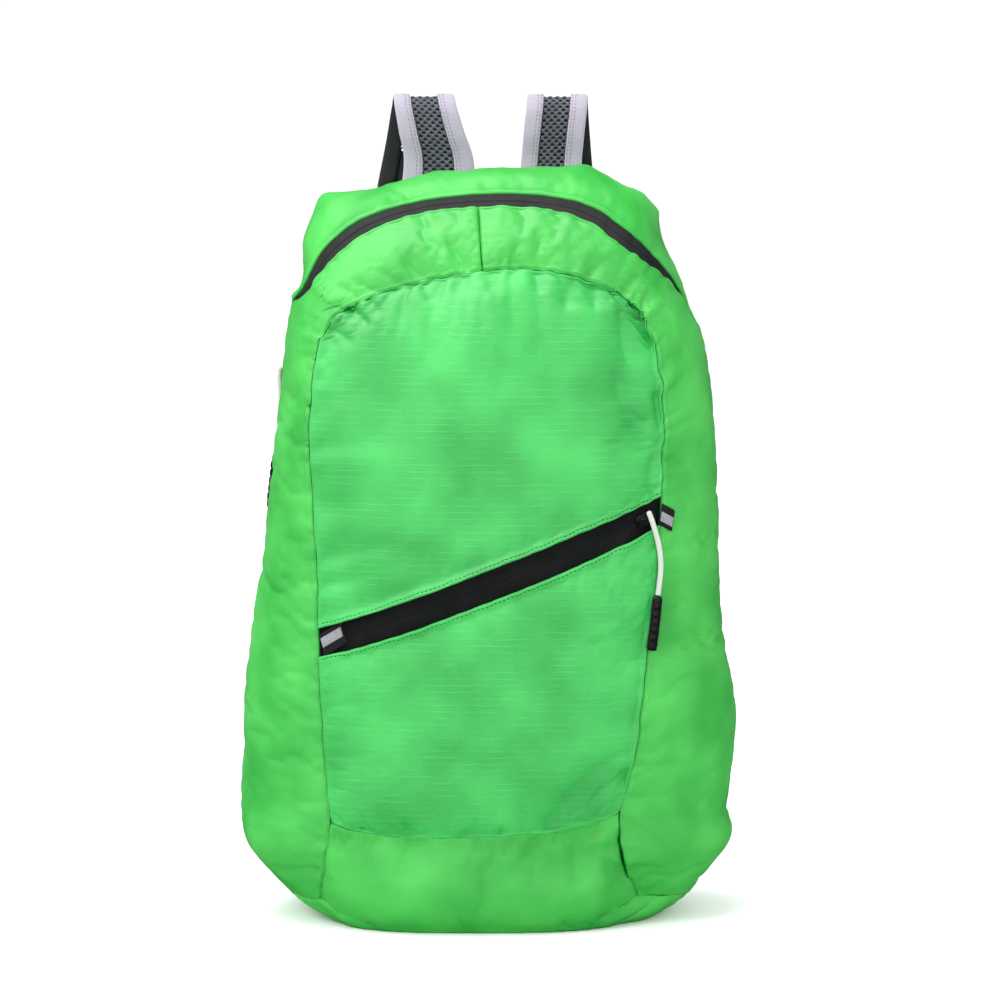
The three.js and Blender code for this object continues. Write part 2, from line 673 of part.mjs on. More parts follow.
// Pull cords: their routes are points chosen by hand
const POCKET_CORD_ROUTE = [
  [91.2, -75, 248.6], [92.3, -75, 246], [93.3, -74.7, 243.2], [94.3, -74.1, 240.2],
  [95.3, -73.4, 236.8], [96.3, -72.9, 233.2], [97.2, -72.5, 229.4], [97.9, -72.3, 225.6],
  [98.4, -72.2, 221.6], [98.6, -72.2, 217.6], [98.5, -72.2, 213.6], [98.2, -72.3, 209.8],
  [97.8, -72.4, 206], [97.4, -72.5, 202.8], [97, -72.6, 200],
];
const MAIN_CORD_ROUTE = [
  [-122.6, 14, 323], [-123, 14, 319.6], [-123.1, 14, 316], [-123, 14, 312.4],
  [-122.8, 14, 309], [-122.6, 14, 305.6], [-122.5, 14, 302.2], [-122.5, 14, 298.8],
  [-122.6, 14, 295.4], [-122.8, 14, 292], [-123, 14, 288.6], [-123.3, 14, 285.2],
  [-123.6, 14, 281.8], [-124, 14, 278.4], [-124.4, 14, 275.2], [-124.8, 14, 272.4],
];

// The moulded end on each cord: its top, and its middle and tip from there as shares of its length
const POCKET_END = {
  top: [96.9, -73, 199.4],
  middle: [-0.047, -0.019, -0.481],
  tip: [-0.109, -0.038, -0.981],
};
const MAIN_END = { top: [-125.4, 14, 271.8], middle: [-0.059, 0, -0.506], tip: [-0.119, 0, -1] };
const points = (route) => route.map((p) => vec(...p));
const CORD_STEPS = 16;
const END_STEPS = 6;
const ACROSS_BAG = vec(1, 0, 0);
const ALONG_BAG = vec(0, 1, 0);
const endProfile = [
  [-0.5, -0.3], [-0.35, -0.5], [0.35, -0.5], [0.5, -0.3],
  [0.5, 0.3], [0.35, 0.5], [-0.35, 0.5], [-0.5, 0.3],
].map(([x, y]) => [x * PULL_END.width, y * PULL_END.depth]);
function endRoute({ top, middle, tip }) {
  const from = vec(...top);
  const rest = [middle, tip].map((share) => from.clone().addScaledVector(vec(...share), PULL_END.length));
  return [from, ...rest];
}

function pull(name, cordRoute, end, wide) {
  const cordFrames = framesAlong(points(cordRoute), CORD_STEPS, wide);
  add(`${name}_pull_cord`, sweep(round(CORD), cordFrames), CORD_GREY);
  const endFrames = framesAlong(endRoute(end), END_STEPS, wide);
  add(`${name}_pull_end`, sweep(endProfile, endFrames), BLACK, 0.5);
}
pull('pocket', POCKET_CORD_ROUTE, POCKET_END, ACROSS_BAG);
pull('main', MAIN_CORD_ROUTE, MAIN_END, ALONG_BAG);

// Shoulder straps: the middle line of each, from its seam on the back panel over the loop and
// down to its lower end. Across left and right (shares of HALF_WIDTH), behind the back seam
// (share of STAND_OFF), up (share of HEIGHT), and rise above the bag (share of LOOP_RISE).
const STAND_OFF = 26;
const STRAP_ROUTE = [
  [-0.19, 0.258, 0.35, 1, 0.1],
  [-0.225, 0.268, 0.3, 1, 0.48],
  [-0.256, 0.28, 0.35, 1, 0.84],
  [-0.268, 0.284, 0.56, 1, 0.985],
  [-0.278, 0.287, 0.78, 1, 0.84],
  [-0.3, 0.297, 0.92, 1, 0.4],
  [-0.34, 0.318, 1, 0.965, 0],
  [-0.42, 0.39, 1.02, 0.84, 0],
  [-0.51, 0.48, 0.95, 0.65, 0],
  [-0.575, 0.545, 0.82, 0.48, 0],
  [-0.6, 0.575, 0.7, 0.38, 0],
];
const SEAT_ACROSS = [-0.18, 0.25];
const SEAT_UP = [0.92, 0.98];
const SEAT_CLEAR = 0.8;
const WEB_SEAT_ACROSS = [-0.6, 0.6];
const WEB_SEAT_UP = 0.06;
const STRAP_STEPS = 33;
const strapThick = STRAP_MESH + 2 * (GAP + BINDING);

// The point on the back panel at a place across the bag, found between its two side seams
function onBack(x, t) {
  let [a, b] = [0, 1];
  for (let k = 0; k < SEARCH_STEPS; k += 1) {
    const half = (a + b) / 2;
    if (backPoint(half, t).x < x) a = half;
    else b = half;
  }
  return backPoint(a, t);
}

function strapRoute(hand) {
  const seats = SEAT_UP.map((t) => {
    const p = onBack(SEAT_ACROSS[hand] * HALF_WIDTH, t);
    return p.setY(p.y + strapThick / 2 + SEAT_CLEAR);
  });
  const rest = STRAP_ROUTE.map((row) => {
    const y = BACK_REACH - BACK_LEAN * row[3] + row[2] * STAND_OFF;
    return vec(row[hand] * HALF_WIDTH, y, row[3] * HEIGHT + row[4] * LOOP_RISE);
  });
  return [...seats, ...rest];
}

// A binding tape folded round one long edge of the strap's mesh
function bindingProfile(edge) {
  const outer = strapThick / 2;
  const slot = STRAP_MESH / 2 + GAP;
  const out = edge * (STRAP_WIDTH / 2);
  const fold = edge * (STRAP_WIDTH / 2 - BINDING);
  const free = edge * (STRAP_WIDTH / 2 - BINDING_WIDTH);
  const profile = [
    [out, -outer], [out, outer], [free, outer], [free, slot],
    [fold, slot], [fold, -slot], [free, -slot], [free, -outer],
  ];
  return edge > 0 ? profile : profile.reverse();
}

// A plain frame round the strap's end and the webbing on it
function buckle(before, end, off) {
  const wide = STRAP_WIDTH + 2 * BUCKLE.clear;
  const thick = strapThick + GAP + WEBBING + 2 * BUCKLE.clear;
  const middle = (off + WEBBING / 2 - strapThick / 2) / 2;
  const frame = (grow) => box(wide + 2 * grow, thick + 2 * grow)
    .map(([x, y]) => new THREE.Vector2(x, y + middle));
  const shape = new THREE.Shape(frame(BUCKLE.rim));
  shape.holes.push(new THREE.Path(frame(0).reverse()));
  const geometry = new THREE.ExtrudeGeometry(shape, { depth: BUCKLE.tall, bevelEnabled: false });
  const line = end.point.clone().sub(before.point).normalize();
  const follows = end.wide.clone().cross(end.thick).dot(line) > 0;
  const along = line.clone().multiplyScalar(follows ? 1 : -1);
  const start = end.point.clone().addScaledVector(line, follows ? -BUCKLE.tall : 0);
  const matrix = new THREE.Matrix4().makeBasis(end.wide, end.thick, along).setPosition(start);
  return geometry.applyMatrix4(matrix);
}

const WEB_STEPS = 15;
const WEB_LEAVE = { back: 1.5, up: 16 };
const meshWidth = STRAP_WIDTH - 2 * (BINDING + GAP);
for (const [hand, sideName] of [[0, 'left'], [1, 'right']]) {
  const route = strapRoute(hand);
  const frames = framesAlong(route, STRAP_STEPS, ACROSS_BAG, true);
  add(`strap_mesh_${sideName}`, sweep(box(meshWidth, STRAP_MESH), frames), MESH_DARK, 0.8);
  add(`strap_binding_${sideName}_outer`, sweep(bindingProfile(hand === 0 ? -1 : 1), frames), GREY);
  add(`strap_binding_${sideName}_inner`, sweep(bindingProfile(hand === 0 ? 1 : -1), frames), GREY);

  // Webbing lies against the strap's end, held in a plain buckle, and runs down to the bag
  const end = frames[frames.length - 1];
  const held = frames[frames.length - 3];
  const off = (WEBBING + strapThick) / 2 + GAP;
  const lower = onBack(WEB_SEAT_ACROSS[hand] * HALF_WIDTH, WEB_SEAT_UP);
  const seat = lower.clone().setY(lower.y + WEBBING / 2 + SEAT_CLEAR);
  const webRoute = [
    held.point.clone().addScaledVector(held.thick, off),
    end.point.clone().addScaledVector(end.thick, off),
    seat.clone().add(vec(0, WEB_LEAVE.back, WEB_LEAVE.up)),
    seat,
  ];
  const webFrames = framesAlong(webRoute, WEB_STEPS, ACROSS_BAG, true);
  add(`webbing_${sideName}`, sweep(box(WEBBING_WIDTH, WEBBING), webFrames), BLACK);
  add(`buckle_${sideName}`, buckle(frames[frames.length - 2], end, off), BLACK, 0.45);
}

// The part's origin is the middle of its footprint on the floor
group.updateMatrixWorld(true);
const extent = new THREE.Box3().setFromObject(group);
const middle = extent.getCenter(vec(0, 0, 0));
group.position.set(-middle.x, -middle.y, -extent.min.z);

export default group;
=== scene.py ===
"""Packable backpack of thin green ripstop cloth, stuffed and standing on its base.

Lengths are worked out in millimetres in the bag's own axes, +X to the right, +Z up and the front
facing -Y, and turned into metres in the shared frame as each mesh is made.
"""
import math

import bpy
import numpy as np
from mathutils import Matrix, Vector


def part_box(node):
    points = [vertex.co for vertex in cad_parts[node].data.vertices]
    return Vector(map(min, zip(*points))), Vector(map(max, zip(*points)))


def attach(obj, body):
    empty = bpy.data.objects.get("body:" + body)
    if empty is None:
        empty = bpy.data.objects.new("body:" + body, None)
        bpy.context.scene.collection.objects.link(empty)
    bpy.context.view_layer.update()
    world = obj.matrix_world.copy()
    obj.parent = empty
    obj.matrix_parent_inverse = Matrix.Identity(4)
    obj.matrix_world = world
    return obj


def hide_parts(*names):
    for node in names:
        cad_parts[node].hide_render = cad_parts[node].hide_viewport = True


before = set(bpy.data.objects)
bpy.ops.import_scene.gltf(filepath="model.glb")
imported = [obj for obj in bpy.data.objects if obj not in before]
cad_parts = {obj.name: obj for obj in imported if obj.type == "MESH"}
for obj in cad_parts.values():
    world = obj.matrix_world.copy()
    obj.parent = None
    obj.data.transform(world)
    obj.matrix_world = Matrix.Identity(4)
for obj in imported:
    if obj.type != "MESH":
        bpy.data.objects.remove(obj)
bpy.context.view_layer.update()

# Sizes, as in the solids
HEIGHT = 440
HALF_WIDTH = 144
FRONT_REACH = 84
BACK_REACH = 52
BACK_LEAN = 14
BACK_INSET = 18
BACK_BULGE = 5
FRONT_BULGE = 15
CLOTH = 1.4
GAP = 0.3
ZIP_WIDTH = 15
POCKET_ZIP_LEFT = 172
POCKET_ZIP_RIGHT = 248
CORD = 3.1
END_LENGTH = 32
STRAP_WIDTH = 36
STRAP_MESH = 2
BINDING_WIDTH = 10
BINDING = 1
LOOP_RISE = 41
STAND_OFF = 26
WEBBING_WIDTH = 20
WEBBING = 1.6

# Sections of the side panel: front seam across, out and up, crest across, out and up, zip's place
SECTIONS = np.array([
    [-0.674, 0.476, 0.036, -0.826, 0.06, 0.039, 0.62],
    [-0.651, 0.667, 0.095, -0.955, 0.06, 0.093, 0.62],
    [-0.632, 0.762, 0.15, -0.996, 0.06, 0.155, 0.62],
    [-0.647, 0.81, 0.223, -0.993, 0.06, 0.223, 0.62],
    [-0.668, 0.833, 0.341, -0.972, 0.06, 0.341, 0.62],
    [-0.677, 0.81, 0.489, -0.906, 0.06, 0.489, 0.62],
    [-0.706, 0.75, 0.659, -0.847, 0.06, 0.648, 0.62],
    [-0.677, 0.69, 0.768, -0.813, 0, 0.768, 0.6],
    [-0.639, 0.673, 0.793, -0.795, -0.048, 0.814, 0.47],
    [-0.597, 0.655, 0.814, -0.795, -0.095, 0.85, 0.28],
    [-0.458, 0.643, 0.838, -0.743, -0.143, 0.927, 0.24],
    [-0.313, 0.631, 0.852, -0.583, -0.143, 0.968, 0.255],
    [-0.153, 0.619, 0.864, -0.313, -0.143, 0.984, 0.285],
    [0, 0.619, 0.871, -0.014, -0.143, 0.998, 0.275],
    [0.153, 0.619, 0.873, 0.264, -0.143, 1, 0.26],
    [0.306, 0.631, 0.867, 0.472, -0.143, 0.993, 0.235],
    [0.458, 0.643, 0.851, 0.639, -0.143, 0.968, 0.2],
    [0.576, 0.655, 0.827, 0.701, -0.143, 0.914, 0.245],
    [0.651, 0.69, 0.783, 0.799, -0.071, 0.832, 0.395],
    [0.69, 0.738, 0.705, 0.875, 0.036, 0.75, 0.6],
    [0.685, 0.774, 0.609, 0.913, 0.06, 0.614, 0.62],
    [0.665, 0.821, 0.466, 0.926, 0.06, 0.466, 0.62],
    [0.625, 0.833, 0.359, 0.955, 0.06, 0.359, 0.62],
    [0.588, 0.821, 0.25, 0.996, 0.06, 0.255, 0.62],
    [0.526, 0.762, 0.164, 0.969, 0.06, 0.15, 0.62],
    [0.545, 0.655, 0.095, 0.958, 0.06, 0.095, 0.62],
    [0.597, 0.476, 0.041, 0.819, 0.06, 0.033, 0.62],
])
FOOT_RIGHT = len(SECTIONS) - 1
POCKET_LEFT = 2
POCKET_RIGHT = 24
CORNER_LEFT = 9.4
CORNER_RIGHT = 16.9
CENTRE_SEAM = 12.87
ZIP_END_LEFT = 6.3
ZIP_END_RIGHT = 19.3

# The base along its middle: share of the way back, out and up
BASE_PROFILE = np.array([
    [0, 0.893, 0.136],
    [0.1, 0.875, 0.07],
    [0.2, 0.76, 0.01],
    [0.3, 0.56, -0.02],
    [0.88, -0.46, -0.02],
    [1, -0.64, 0.014],
])

# Large folds, as in the solids
FOLD_HEIGHT = 5
FOLDS = [
    [8.6, 0.62, 0.5, 0.12, -1],
    [9.9, 0.6, 0.35, 0.16, 0.6],
    [10.6, 0.58, 0.25, 0.16, -0.9],
    [11.5, 0.6, 0.3, 0.16, 0.5],
    [12.3, 0.62, 0.25, 0.14, -0.5],
    [13.4, 0.62, 0.3, 0.14, 0.4],
    [14.6, 0.6, 0.25, 0.16, -0.5],
    [15.5, 0.6, 0.3, 0.16, 0.6],
    [16.6, 0.6, 0.3, 0.16, -0.8],
    [17.5, 0.62, 0.4, 0.14, 0.5],
    [22.6, 0.3, 0.5, 0.2, -0.7],
    [24.6, 0.3, 0.5, 0.25, -1],
    [1.4, 0.3, 0.6, 0.25, -0.8],
]
FRONT_FOLDS = [
    [0.86, 0.24, 0.16, 0.04, 52, 0.9],
    [0.93, 0.16, 0.1, 0.05, 75, -0.8],
    [0.42, 0.72, 0.3, 0.08, 68, 0.5],
    [0.66, 0.7, 0.3, 0.07, 105, -0.6],
    [0.3, 0.25, 0.2, 0.07, 30, -0.5],
]


def column(table, name, place):
    """A smooth value at a place in a table's column."""
    place = np.asarray(place, float)
    last = len(table) - 1
    row = np.clip(np.floor(place), 0, last - 1).astype(int)
    f = place - row
    a, b, c, d = (table[np.clip(row + k, 0, last), name] for k in (-1, 0, 1, 2))
    return 0.5 * (2 * b + (c - a) * f + (2 * a - 5 * b + 4 * c - d) * f**2 + (3 * b - a - 3 * c + d) * f**3)


def points(x, y, z):
    return np.stack(np.broadcast_arrays(x, y, z), -1).astype(float)


def unit(v):
    return v / np.maximum(np.linalg.norm(v, axis=-1, keepdims=True), 1e-9)


def mix(a, b, share):
    return a + (b - a) * np.asarray(share)[..., None]


def seam(u):
    c = [column(SECTIONS, k, u) for k in (0, 1, 2)]
    return points(c[0] * HALF_WIDTH, -c[1] * FRONT_REACH, c[2] * HEIGHT) + waver(np.asarray(u, float))


def waver(u):
    """The small wander of the sewn line, more on its right side, in mm."""
    much = 0.22 + 0.6 * np.exp(-(((u - 18) / 2) ** 2))
    across = np.sin(9.1 * u + 0.6) + 0.6 * np.sin(15.7 * u + 2.1)
    up = np.sin(10.3 * u + 1.9) + 0.6 * np.sin(17.3 * u)
    return points(much * across, 0, much * up * np.clip((14 - abs(u - 13)) / 4, 0, 1))


def crest(u):
    c = [column(SECTIONS, k, u) for k in (3, 4, 5)]
    return points(c[0] * HALF_WIDTH, -c[1] * FRONT_REACH, c[2] * HEIGHT)


def back_seam(u):
    k = crest(u)
    spine = np.clip(k[..., 2], 0.09 * HEIGHT, 0.75 * HEIGHT)
    out = unit(np.stack([k[..., 0], k[..., 2] - spine], -1))
    y = BACK_REACH - BACK_LEAN * (k[..., 2] / HEIGHT)
    return points(k[..., 0] - BACK_INSET * out[..., 0], y, k[..., 2] - BACK_INSET * 0.75 * out[..., 1])


ROUNDNESS = 1.6


def plain_side(u, v):
    u, v = np.broadcast_arrays(np.asarray(u, float), np.asarray(v, float))
    ahead = np.minimum(v, 0.5) * math.pi
    rear = np.maximum(v - 0.5, 0) * math.pi
    f, k, b = seam(u), crest(u), back_seam(u)
    out = np.sin(np.maximum(ahead, 0)) ** (2 / ROUNDNESS)
    along = 1 - np.abs(np.cos(ahead)) ** (2 / ROUNDNESS)
    inward = 1 - np.cos(rear)
    return points(
        f[..., 0] + (k - f)[..., 0] * out + (b - k)[..., 0] * inward,
        f[..., 1] + (k - f)[..., 1] * along + (b - k)[..., 1] * np.sin(rear),
        f[..., 2] + (k - f)[..., 2] * out + (b - k)[..., 2] * inward,
    )


STEP = 0.01


def side(u, v):
    u, v = np.broadcast_arrays(np.asarray(u, float), np.asarray(v, float))
    along = plain_side(u + STEP, v) - plain_side(u - STEP, v)
    across = plain_side(u, np.minimum(v + STEP, 1)) - plain_side(u, np.maximum(v - STEP, 0))
    outward = -unit(np.cross(along, across))
    height = sum(
        share * np.exp(-(((u - place) / reach) ** 2) - ((v - off) / width) ** 2)
        for place, off, reach, width, share in FOLDS
    )
    fade = np.minimum(1, np.minimum(6 * v, 6 * (1 - v)))
    return plain_side(u, v) + outward * (height * FOLD_HEIGHT * fade)[..., None]


def seam_place(low, high, height):
    """The place on the front seam at a height."""
    for _ in range(40):
        middle = (low + high) / 2
        if seam(middle)[2] < height:
            low = middle
        else:
            high = middle
    return (low + high) / 2


def left_place(height):
    return seam_place(POCKET_LEFT, ZIP_END_LEFT, height)


def right_place(height):
    return seam_place(POCKET_RIGHT, ZIP_END_RIGHT, height)


ZIP_RUN = seam(right_place(POCKET_ZIP_RIGHT))[0] - seam(left_place(POCKET_ZIP_LEFT))[0]
ZIP_TALL = ZIP_WIDTH * math.hypot(1, (POCKET_ZIP_RIGHT - POCKET_ZIP_LEFT) / ZIP_RUN)
ZIP_LEFT = [left_place(POCKET_ZIP_LEFT + k * ZIP_TALL) for k in (-0.5, 0.5)]
ZIP_RIGHT = [right_place(POCKET_ZIP_RIGHT + k * ZIP_TALL) for k in (-0.5, 0.5)]

# Steps along the side panel, as in the solids
STOPS = [
    (0, 4), (POCKET_LEFT, 4), (ZIP_LEFT[0], 1), (ZIP_LEFT[1], 3), (ZIP_END_LEFT, 5),
    (CORNER_LEFT, 7), (CENTRE_SEAM, 9), (CORNER_RIGHT, 5), (ZIP_END_RIGHT, 3),
    (ZIP_RIGHT[1], 1), (ZIP_RIGHT[0], 4), (POCKET_RIGHT, 4), (FOOT_RIGHT, 0),
]
ALONG = np.array([
    start + i / steps * (STOPS[k + 1][0] - start)
    for k, (start, steps) in enumerate(STOPS[:-1])
    for i in range(steps)
] + [FOOT_RIGHT])


def steps_between(start, end):
    a, b = (int(np.argmin(abs(ALONG - place))) for place in (start, end))
    return ALONG[a:b + 1] if a < b else ALONG[b:a + 1][::-1]


LEFT_UP = steps_between(POCKET_LEFT, CORNER_LEFT)
RIGHT_UP = steps_between(POCKET_RIGHT, CORNER_RIGHT)
ACROSS = steps_between(CORNER_LEFT, CORNER_RIGHT)
BACK_LEFT = steps_between(0, CORNER_LEFT)
BACK_RIGHT = steps_between(FOOT_RIGHT, CORNER_RIGHT)
UP_STEPS = len(LEFT_UP) - 1
STRIP_STEPS = int(np.argmin(abs(ALONG - POCKET_LEFT)))
ZIP_ROW = len(steps_between(POCKET_LEFT, ZIP_LEFT[0])) - 1
FRONT_CELLS = 5
REAR_CELLS = 7
BASE_STEPS = STRIP_STEPS + FRONT_CELLS + 2 + REAR_CELLS
ZIP_SHARES = (ZIP_ROW / UP_STEPS, (ZIP_ROW + 1) / UP_STEPS)


def in_list(values, share):
    return np.interp(np.asarray(share) * (len(values) - 1), np.arange(len(values)), values)


def zip_share(u, edge):
    v = column(SECTIONS, 6, u)
    run = np.linalg.norm(plain_side(u, v + STEP) - plain_side(u, v - STEP), axis=-1) / (2 * STEP)
    return v + edge * ZIP_WIDTH / 2 / run


def base_middle(share):
    rows = np.interp(share, BASE_PROFILE[:, 0], np.arange(len(BASE_PROFILE)))
    return points(0, -column(BASE_PROFILE, 1, rows) * FRONT_REACH, column(BASE_PROFILE, 2, rows) * HEIGHT)


def pulled(left, right, middle, s):
    centre = (left + right) / 2
    weight = (1 - abs(2 * np.asarray(s) - 1) ** 3)[..., None]
    return mix(left, right, s) + weight * (middle - centre) * [0, 1, 1]


def bump4(s, t):
    return 16 * s * (1 - s) * t * (1 - t)


def front(s, t):
    s, t = np.broadcast_arrays(np.asarray(s, float), np.asarray(t, float))
    p = mix(seam(in_list(LEFT_UP, t)), seam(in_list(RIGHT_UP, t)), s)
    foot_left, foot_right = seam(POCKET_LEFT), seam(POCKET_RIGHT)
    low = pulled(foot_left, foot_right, base_middle(0), s) - mix(foot_left, foot_right, s)
    high = seam(in_list(ACROSS, s)) - mix(seam(CORNER_LEFT), seam(CORNER_RIGHT), s)
    p = p + low * ((1 - t) ** 2)[..., None] + high * (t**3)[..., None]
    height = np.zeros(s.shape)
    for across, up, reach, width, turn, share in FRONT_FOLDS:
        c, d = math.cos(math.radians(turn)), math.sin(math.radians(turn))
        along = (s - across) * c + (t - up) * d
        beside = (t - up) * c - (s - across) * d
        height = height + share * np.exp(-((along / reach) ** 2) - (beside / width) ** 2)
    fade = np.minimum(1, 9 * np.minimum(np.minimum(s, 1 - s), np.minimum(t, 1 - t)))
    p[..., 1] -= FRONT_BULGE * bump4(s, t) + height * FOLD_HEIGHT * fade
    return p


def side_share(u, j):
    low, middle, high = (zip_share(u, edge) for edge in (-1, 0, 1))
    j = np.asarray(j, float)
    behind = high + (1 - high) * (j - FRONT_CELLS - 2) / REAR_CELLS
    over = np.where(j <= FRONT_CELLS + 1, low + (middle - low) * (j - FRONT_CELLS),
                    middle + (high - middle) * (j - FRONT_CELLS - 1))
    return np.where(j <= FRONT_CELLS, low * j / FRONT_CELLS, np.where(j <= FRONT_CELLS + 2, over, behind))


def base_point(s, k):
    s, k = np.broadcast_arrays(np.asarray(s, float), np.asarray(k, float))
    foot = np.maximum(k - STRIP_STEPS, 0)
    strip = np.minimum(k, STRIP_STEPS)
    steps = np.arange(len(ALONG))
    left_row = np.interp(STRIP_STEPS - strip, steps, ALONG)
    right_row = np.interp(len(ALONG) - 1 - STRIP_STEPS + strip, steps, ALONG)
    left = np.where(foot[..., None] > 0, side(0, side_share(0.0, foot)), seam(left_row))
    right = np.where(foot[..., None] > 0, side(FOOT_RIGHT, side_share(float(FOOT_RIGHT), foot)),
                     seam(right_row))
    p = pulled(left, right, base_middle(k / BASE_STEPS), s)
    p[..., 2] = np.maximum(p[..., 2], 0)
    return p


def back_point(s, t):
    s, t = np.broadcast_arrays(np.asarray(s, float), np.asarray(t, float))
    p = mix(back_seam(in_list(BACK_LEFT, t)), back_seam(in_list(BACK_RIGHT, t)), s)
    low = base_point(s, BASE_STEPS) - mix(back_seam(0), back_seam(FOOT_RIGHT), s)
    high = back_seam(in_list(ACROSS, s)) - mix(back_seam(CORNER_LEFT), back_seam(CORNER_RIGHT), s)
    p = p + low * ((1 - t) ** 3)[..., None] + high * (t**3)[..., None]
    p[..., 1] += BACK_BULGE * bump4(s, t)
    return p


# Where the bag's own axes lie in the shared frame: matched on the front panel's foremost point
# and on the middle of the side panel's width
_s, _t = np.meshgrid(in_list(np.linspace(0, 1, len(ACROSS)), np.linspace(0, 1, len(ACROSS))),
                     np.arange(ZIP_ROW + 1, UP_STEPS + 1) / UP_STEPS, indexing="ij")
_widest = crest(ALONG)[:, 0]
_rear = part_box("gusset_rear")
SHIFT = np.array([
    (_rear[0][0] + _rear[1][0]) * 500 - (_widest.min() + _widest.max()) / 2,
    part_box("front_panel_upper")[0][1] * 1000 - front(_s, _t)[..., 1].min(),
    0,
])
print("shift in mm:", SHIFT)


def to_metres(p):
    return (np.asarray(p, float) + SHIFT) / 1000


# Meshes
def new_object(name, vertices, faces, material, uv=None):
    """A mesh object riding on the bag's one body. uv is in millimetres, one pair a vertex."""
    mesh = bpy.data.meshes.new(name)
    mesh.from_pydata(to_metres(vertices).tolist(), [], faces)
    mesh.polygons.foreach_set("use_smooth", [True] * len(mesh.polygons))
    if uv is not None:
        layer = mesh.uv_layers.new(name="cloth")
        corners = np.empty(len(mesh.loops), int)
        mesh.loops.foreach_get("vertex_index", corners)
        layer.data.foreach_set("uv", (np.asarray(uv)[corners] / 10).ravel())
    mesh.materials.append(material)
    mesh.update()
    piece = bpy.data.objects.new(name, mesh)
    bpy.context.collection.objects.link(piece)
    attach(piece, "root")
    return piece


def grid_faces(n, m, closed=False):
    """Quads of a grid of n by m points; closed joins the last of the m back to the first."""
    i, j = np.meshgrid(np.arange(n - 1), np.arange(m if closed else m - 1), indexing="ij")
    after = (j + 1) % m
    return np.stack([i * m + j, (i + 1) * m + j, (i + 1) * m + after, i * m + after], -1).reshape(-1, 4)


BAG_MIDDLE = np.array([0, 0, HEIGHT / 2])


def outward(p):
    """Outward directions over a grid of points."""
    n = unit(np.cross(np.gradient(p, axis=0), np.gradient(p, axis=1)))
    return n if (n * (p - BAG_MIDDLE)).sum() > 0 else -n


def run_lengths(p):
    """Lengths in mm along both ways of a grid of points."""
    a = np.zeros(p.shape[:2])
    b = np.zeros(p.shape[:2])
    a[1:] = np.cumsum(np.linalg.norm(np.diff(p, axis=0), axis=-1), axis=0)
    b[:, 1:] = np.cumsum(np.linalg.norm(np.diff(p, axis=1), axis=-1), axis=1)
    return a, b


def crowded(count, crowd=0.8):
    """Shares from 0 to 1, closer together at both ends."""
    x = np.linspace(0, 1, count)
    return x - crowd * np.sin(2 * math.pi * x) / (2 * math.pi)


def smooth_step(x):
    x = np.clip(x, 0, 1)
    return x * x * (3 - 2 * x)


def noise(x, y, size_x, size_y, seed):
    """Smooth noise from -1 to 1 whose spots are size_x by size_y mm."""
    values = np.random.default_rng(seed).uniform(-1, 1, (64, 64))
    fx, fy = np.asarray(x) / size_x, np.asarray(y) / size_y
    ix, iy = np.floor(fx).astype(int), np.floor(fy).astype(int)
    gx, gy = fx - ix, fy - iy
    total = 0
    for a, wx in enumerate(curve_weights(gx)):
        for b, wy in enumerate(curve_weights(gy)):
            total = total + wx * wy * values[(ix + a - 1) % 64, (iy + b - 1) % 64]
    return total


def curve_weights(f):
    return (
        (-f + 2 * f**2 - f**3) / 2,
        (2 - 5 * f**2 + 3 * f**3) / 2,
        (f + 4 * f**2 - 3 * f**3) / 2,
        (-(f**2) + f**3) / 2,
    )


def puckers(along, off, total, seed, pitch=9, width=3.2, reach=15, height=1.1, rise=1.6):
    """Small folds that run away from a seam. along and off are mm along it and away from it."""
    chance = np.random.default_rng(seed)
    result = np.zeros(np.shape(along))
    near = off < reach * 2.6
    a, d = along[near], off[near]
    part = np.zeros(a.shape)
    place = -pitch
    while place < total + pitch:
        place += pitch * chance.uniform(0.45, 1.5)
        wide = width * chance.uniform(0.6, 1.5)
        far = reach * chance.uniform(0.5, 1.7)
        lean = chance.uniform(-0.35, 0.35)
        share = chance.uniform(0.3, 1) * chance.choice([-1, 1], p=[0.45, 0.55])
        part += share * np.exp(-(((a - place - lean * d) / wide) ** 2) - (d / far) ** 1.6)
    result[near] = part * (1 - np.exp(-d / rise)) * height
    return result


STEEP_SIDE = 0.8
GENTLE_SIDE = 2
CREASE_RISE = 1.8


def creases(x, y, table):
    """Folds with a steep side, on the left of their way, and a gentle one: place x and y, turn in
    degrees, half length, width of the steep side and height, in mm."""
    total = np.zeros(np.shape(x))
    for cx, cy, turn, half, wide, height in table:
        c, d = math.cos(math.radians(turn)), math.sin(math.radians(turn))
        along = (x - cx) * c + (y - cy) * d
        beside = (y - cy) * c - (x - cx) * d + 0.08 * half * (along / half) ** 2
        reach = wide * np.where(beside > 0, STEEP_SIDE, GENTLE_SIDE)
        reach = reach * (1.15 - 0.3 * np.minimum(abs(along / half), 1.5))
        ridge = np.exp(-(((beside / reach) ** 2 + 0.006) ** 0.6))
        total += CREASE_RISE * height * ridge * np.exp(-((along / half) ** 4))
    return total


def crumple(x, y, seed, size=26, stretch=1.0):
    """Soft irregular dents of thin stuffed cloth, about from -1 to 1."""
    warp = 0.35 * size * noise(x, y, size * 1.3, size * 1.3, seed + 7)
    a = noise(x + warp, y - warp, size, size * stretch, seed)
    b = noise(x - warp, y + warp, size * 0.5, size * 0.5 * stretch, seed + 1)
    ridged = 1 - 2 * np.sqrt(a**2 + 0.004)
    return 0.5 * ridged + 0.45 * a + 0.28 * b


STITCH_LINE = 1.9


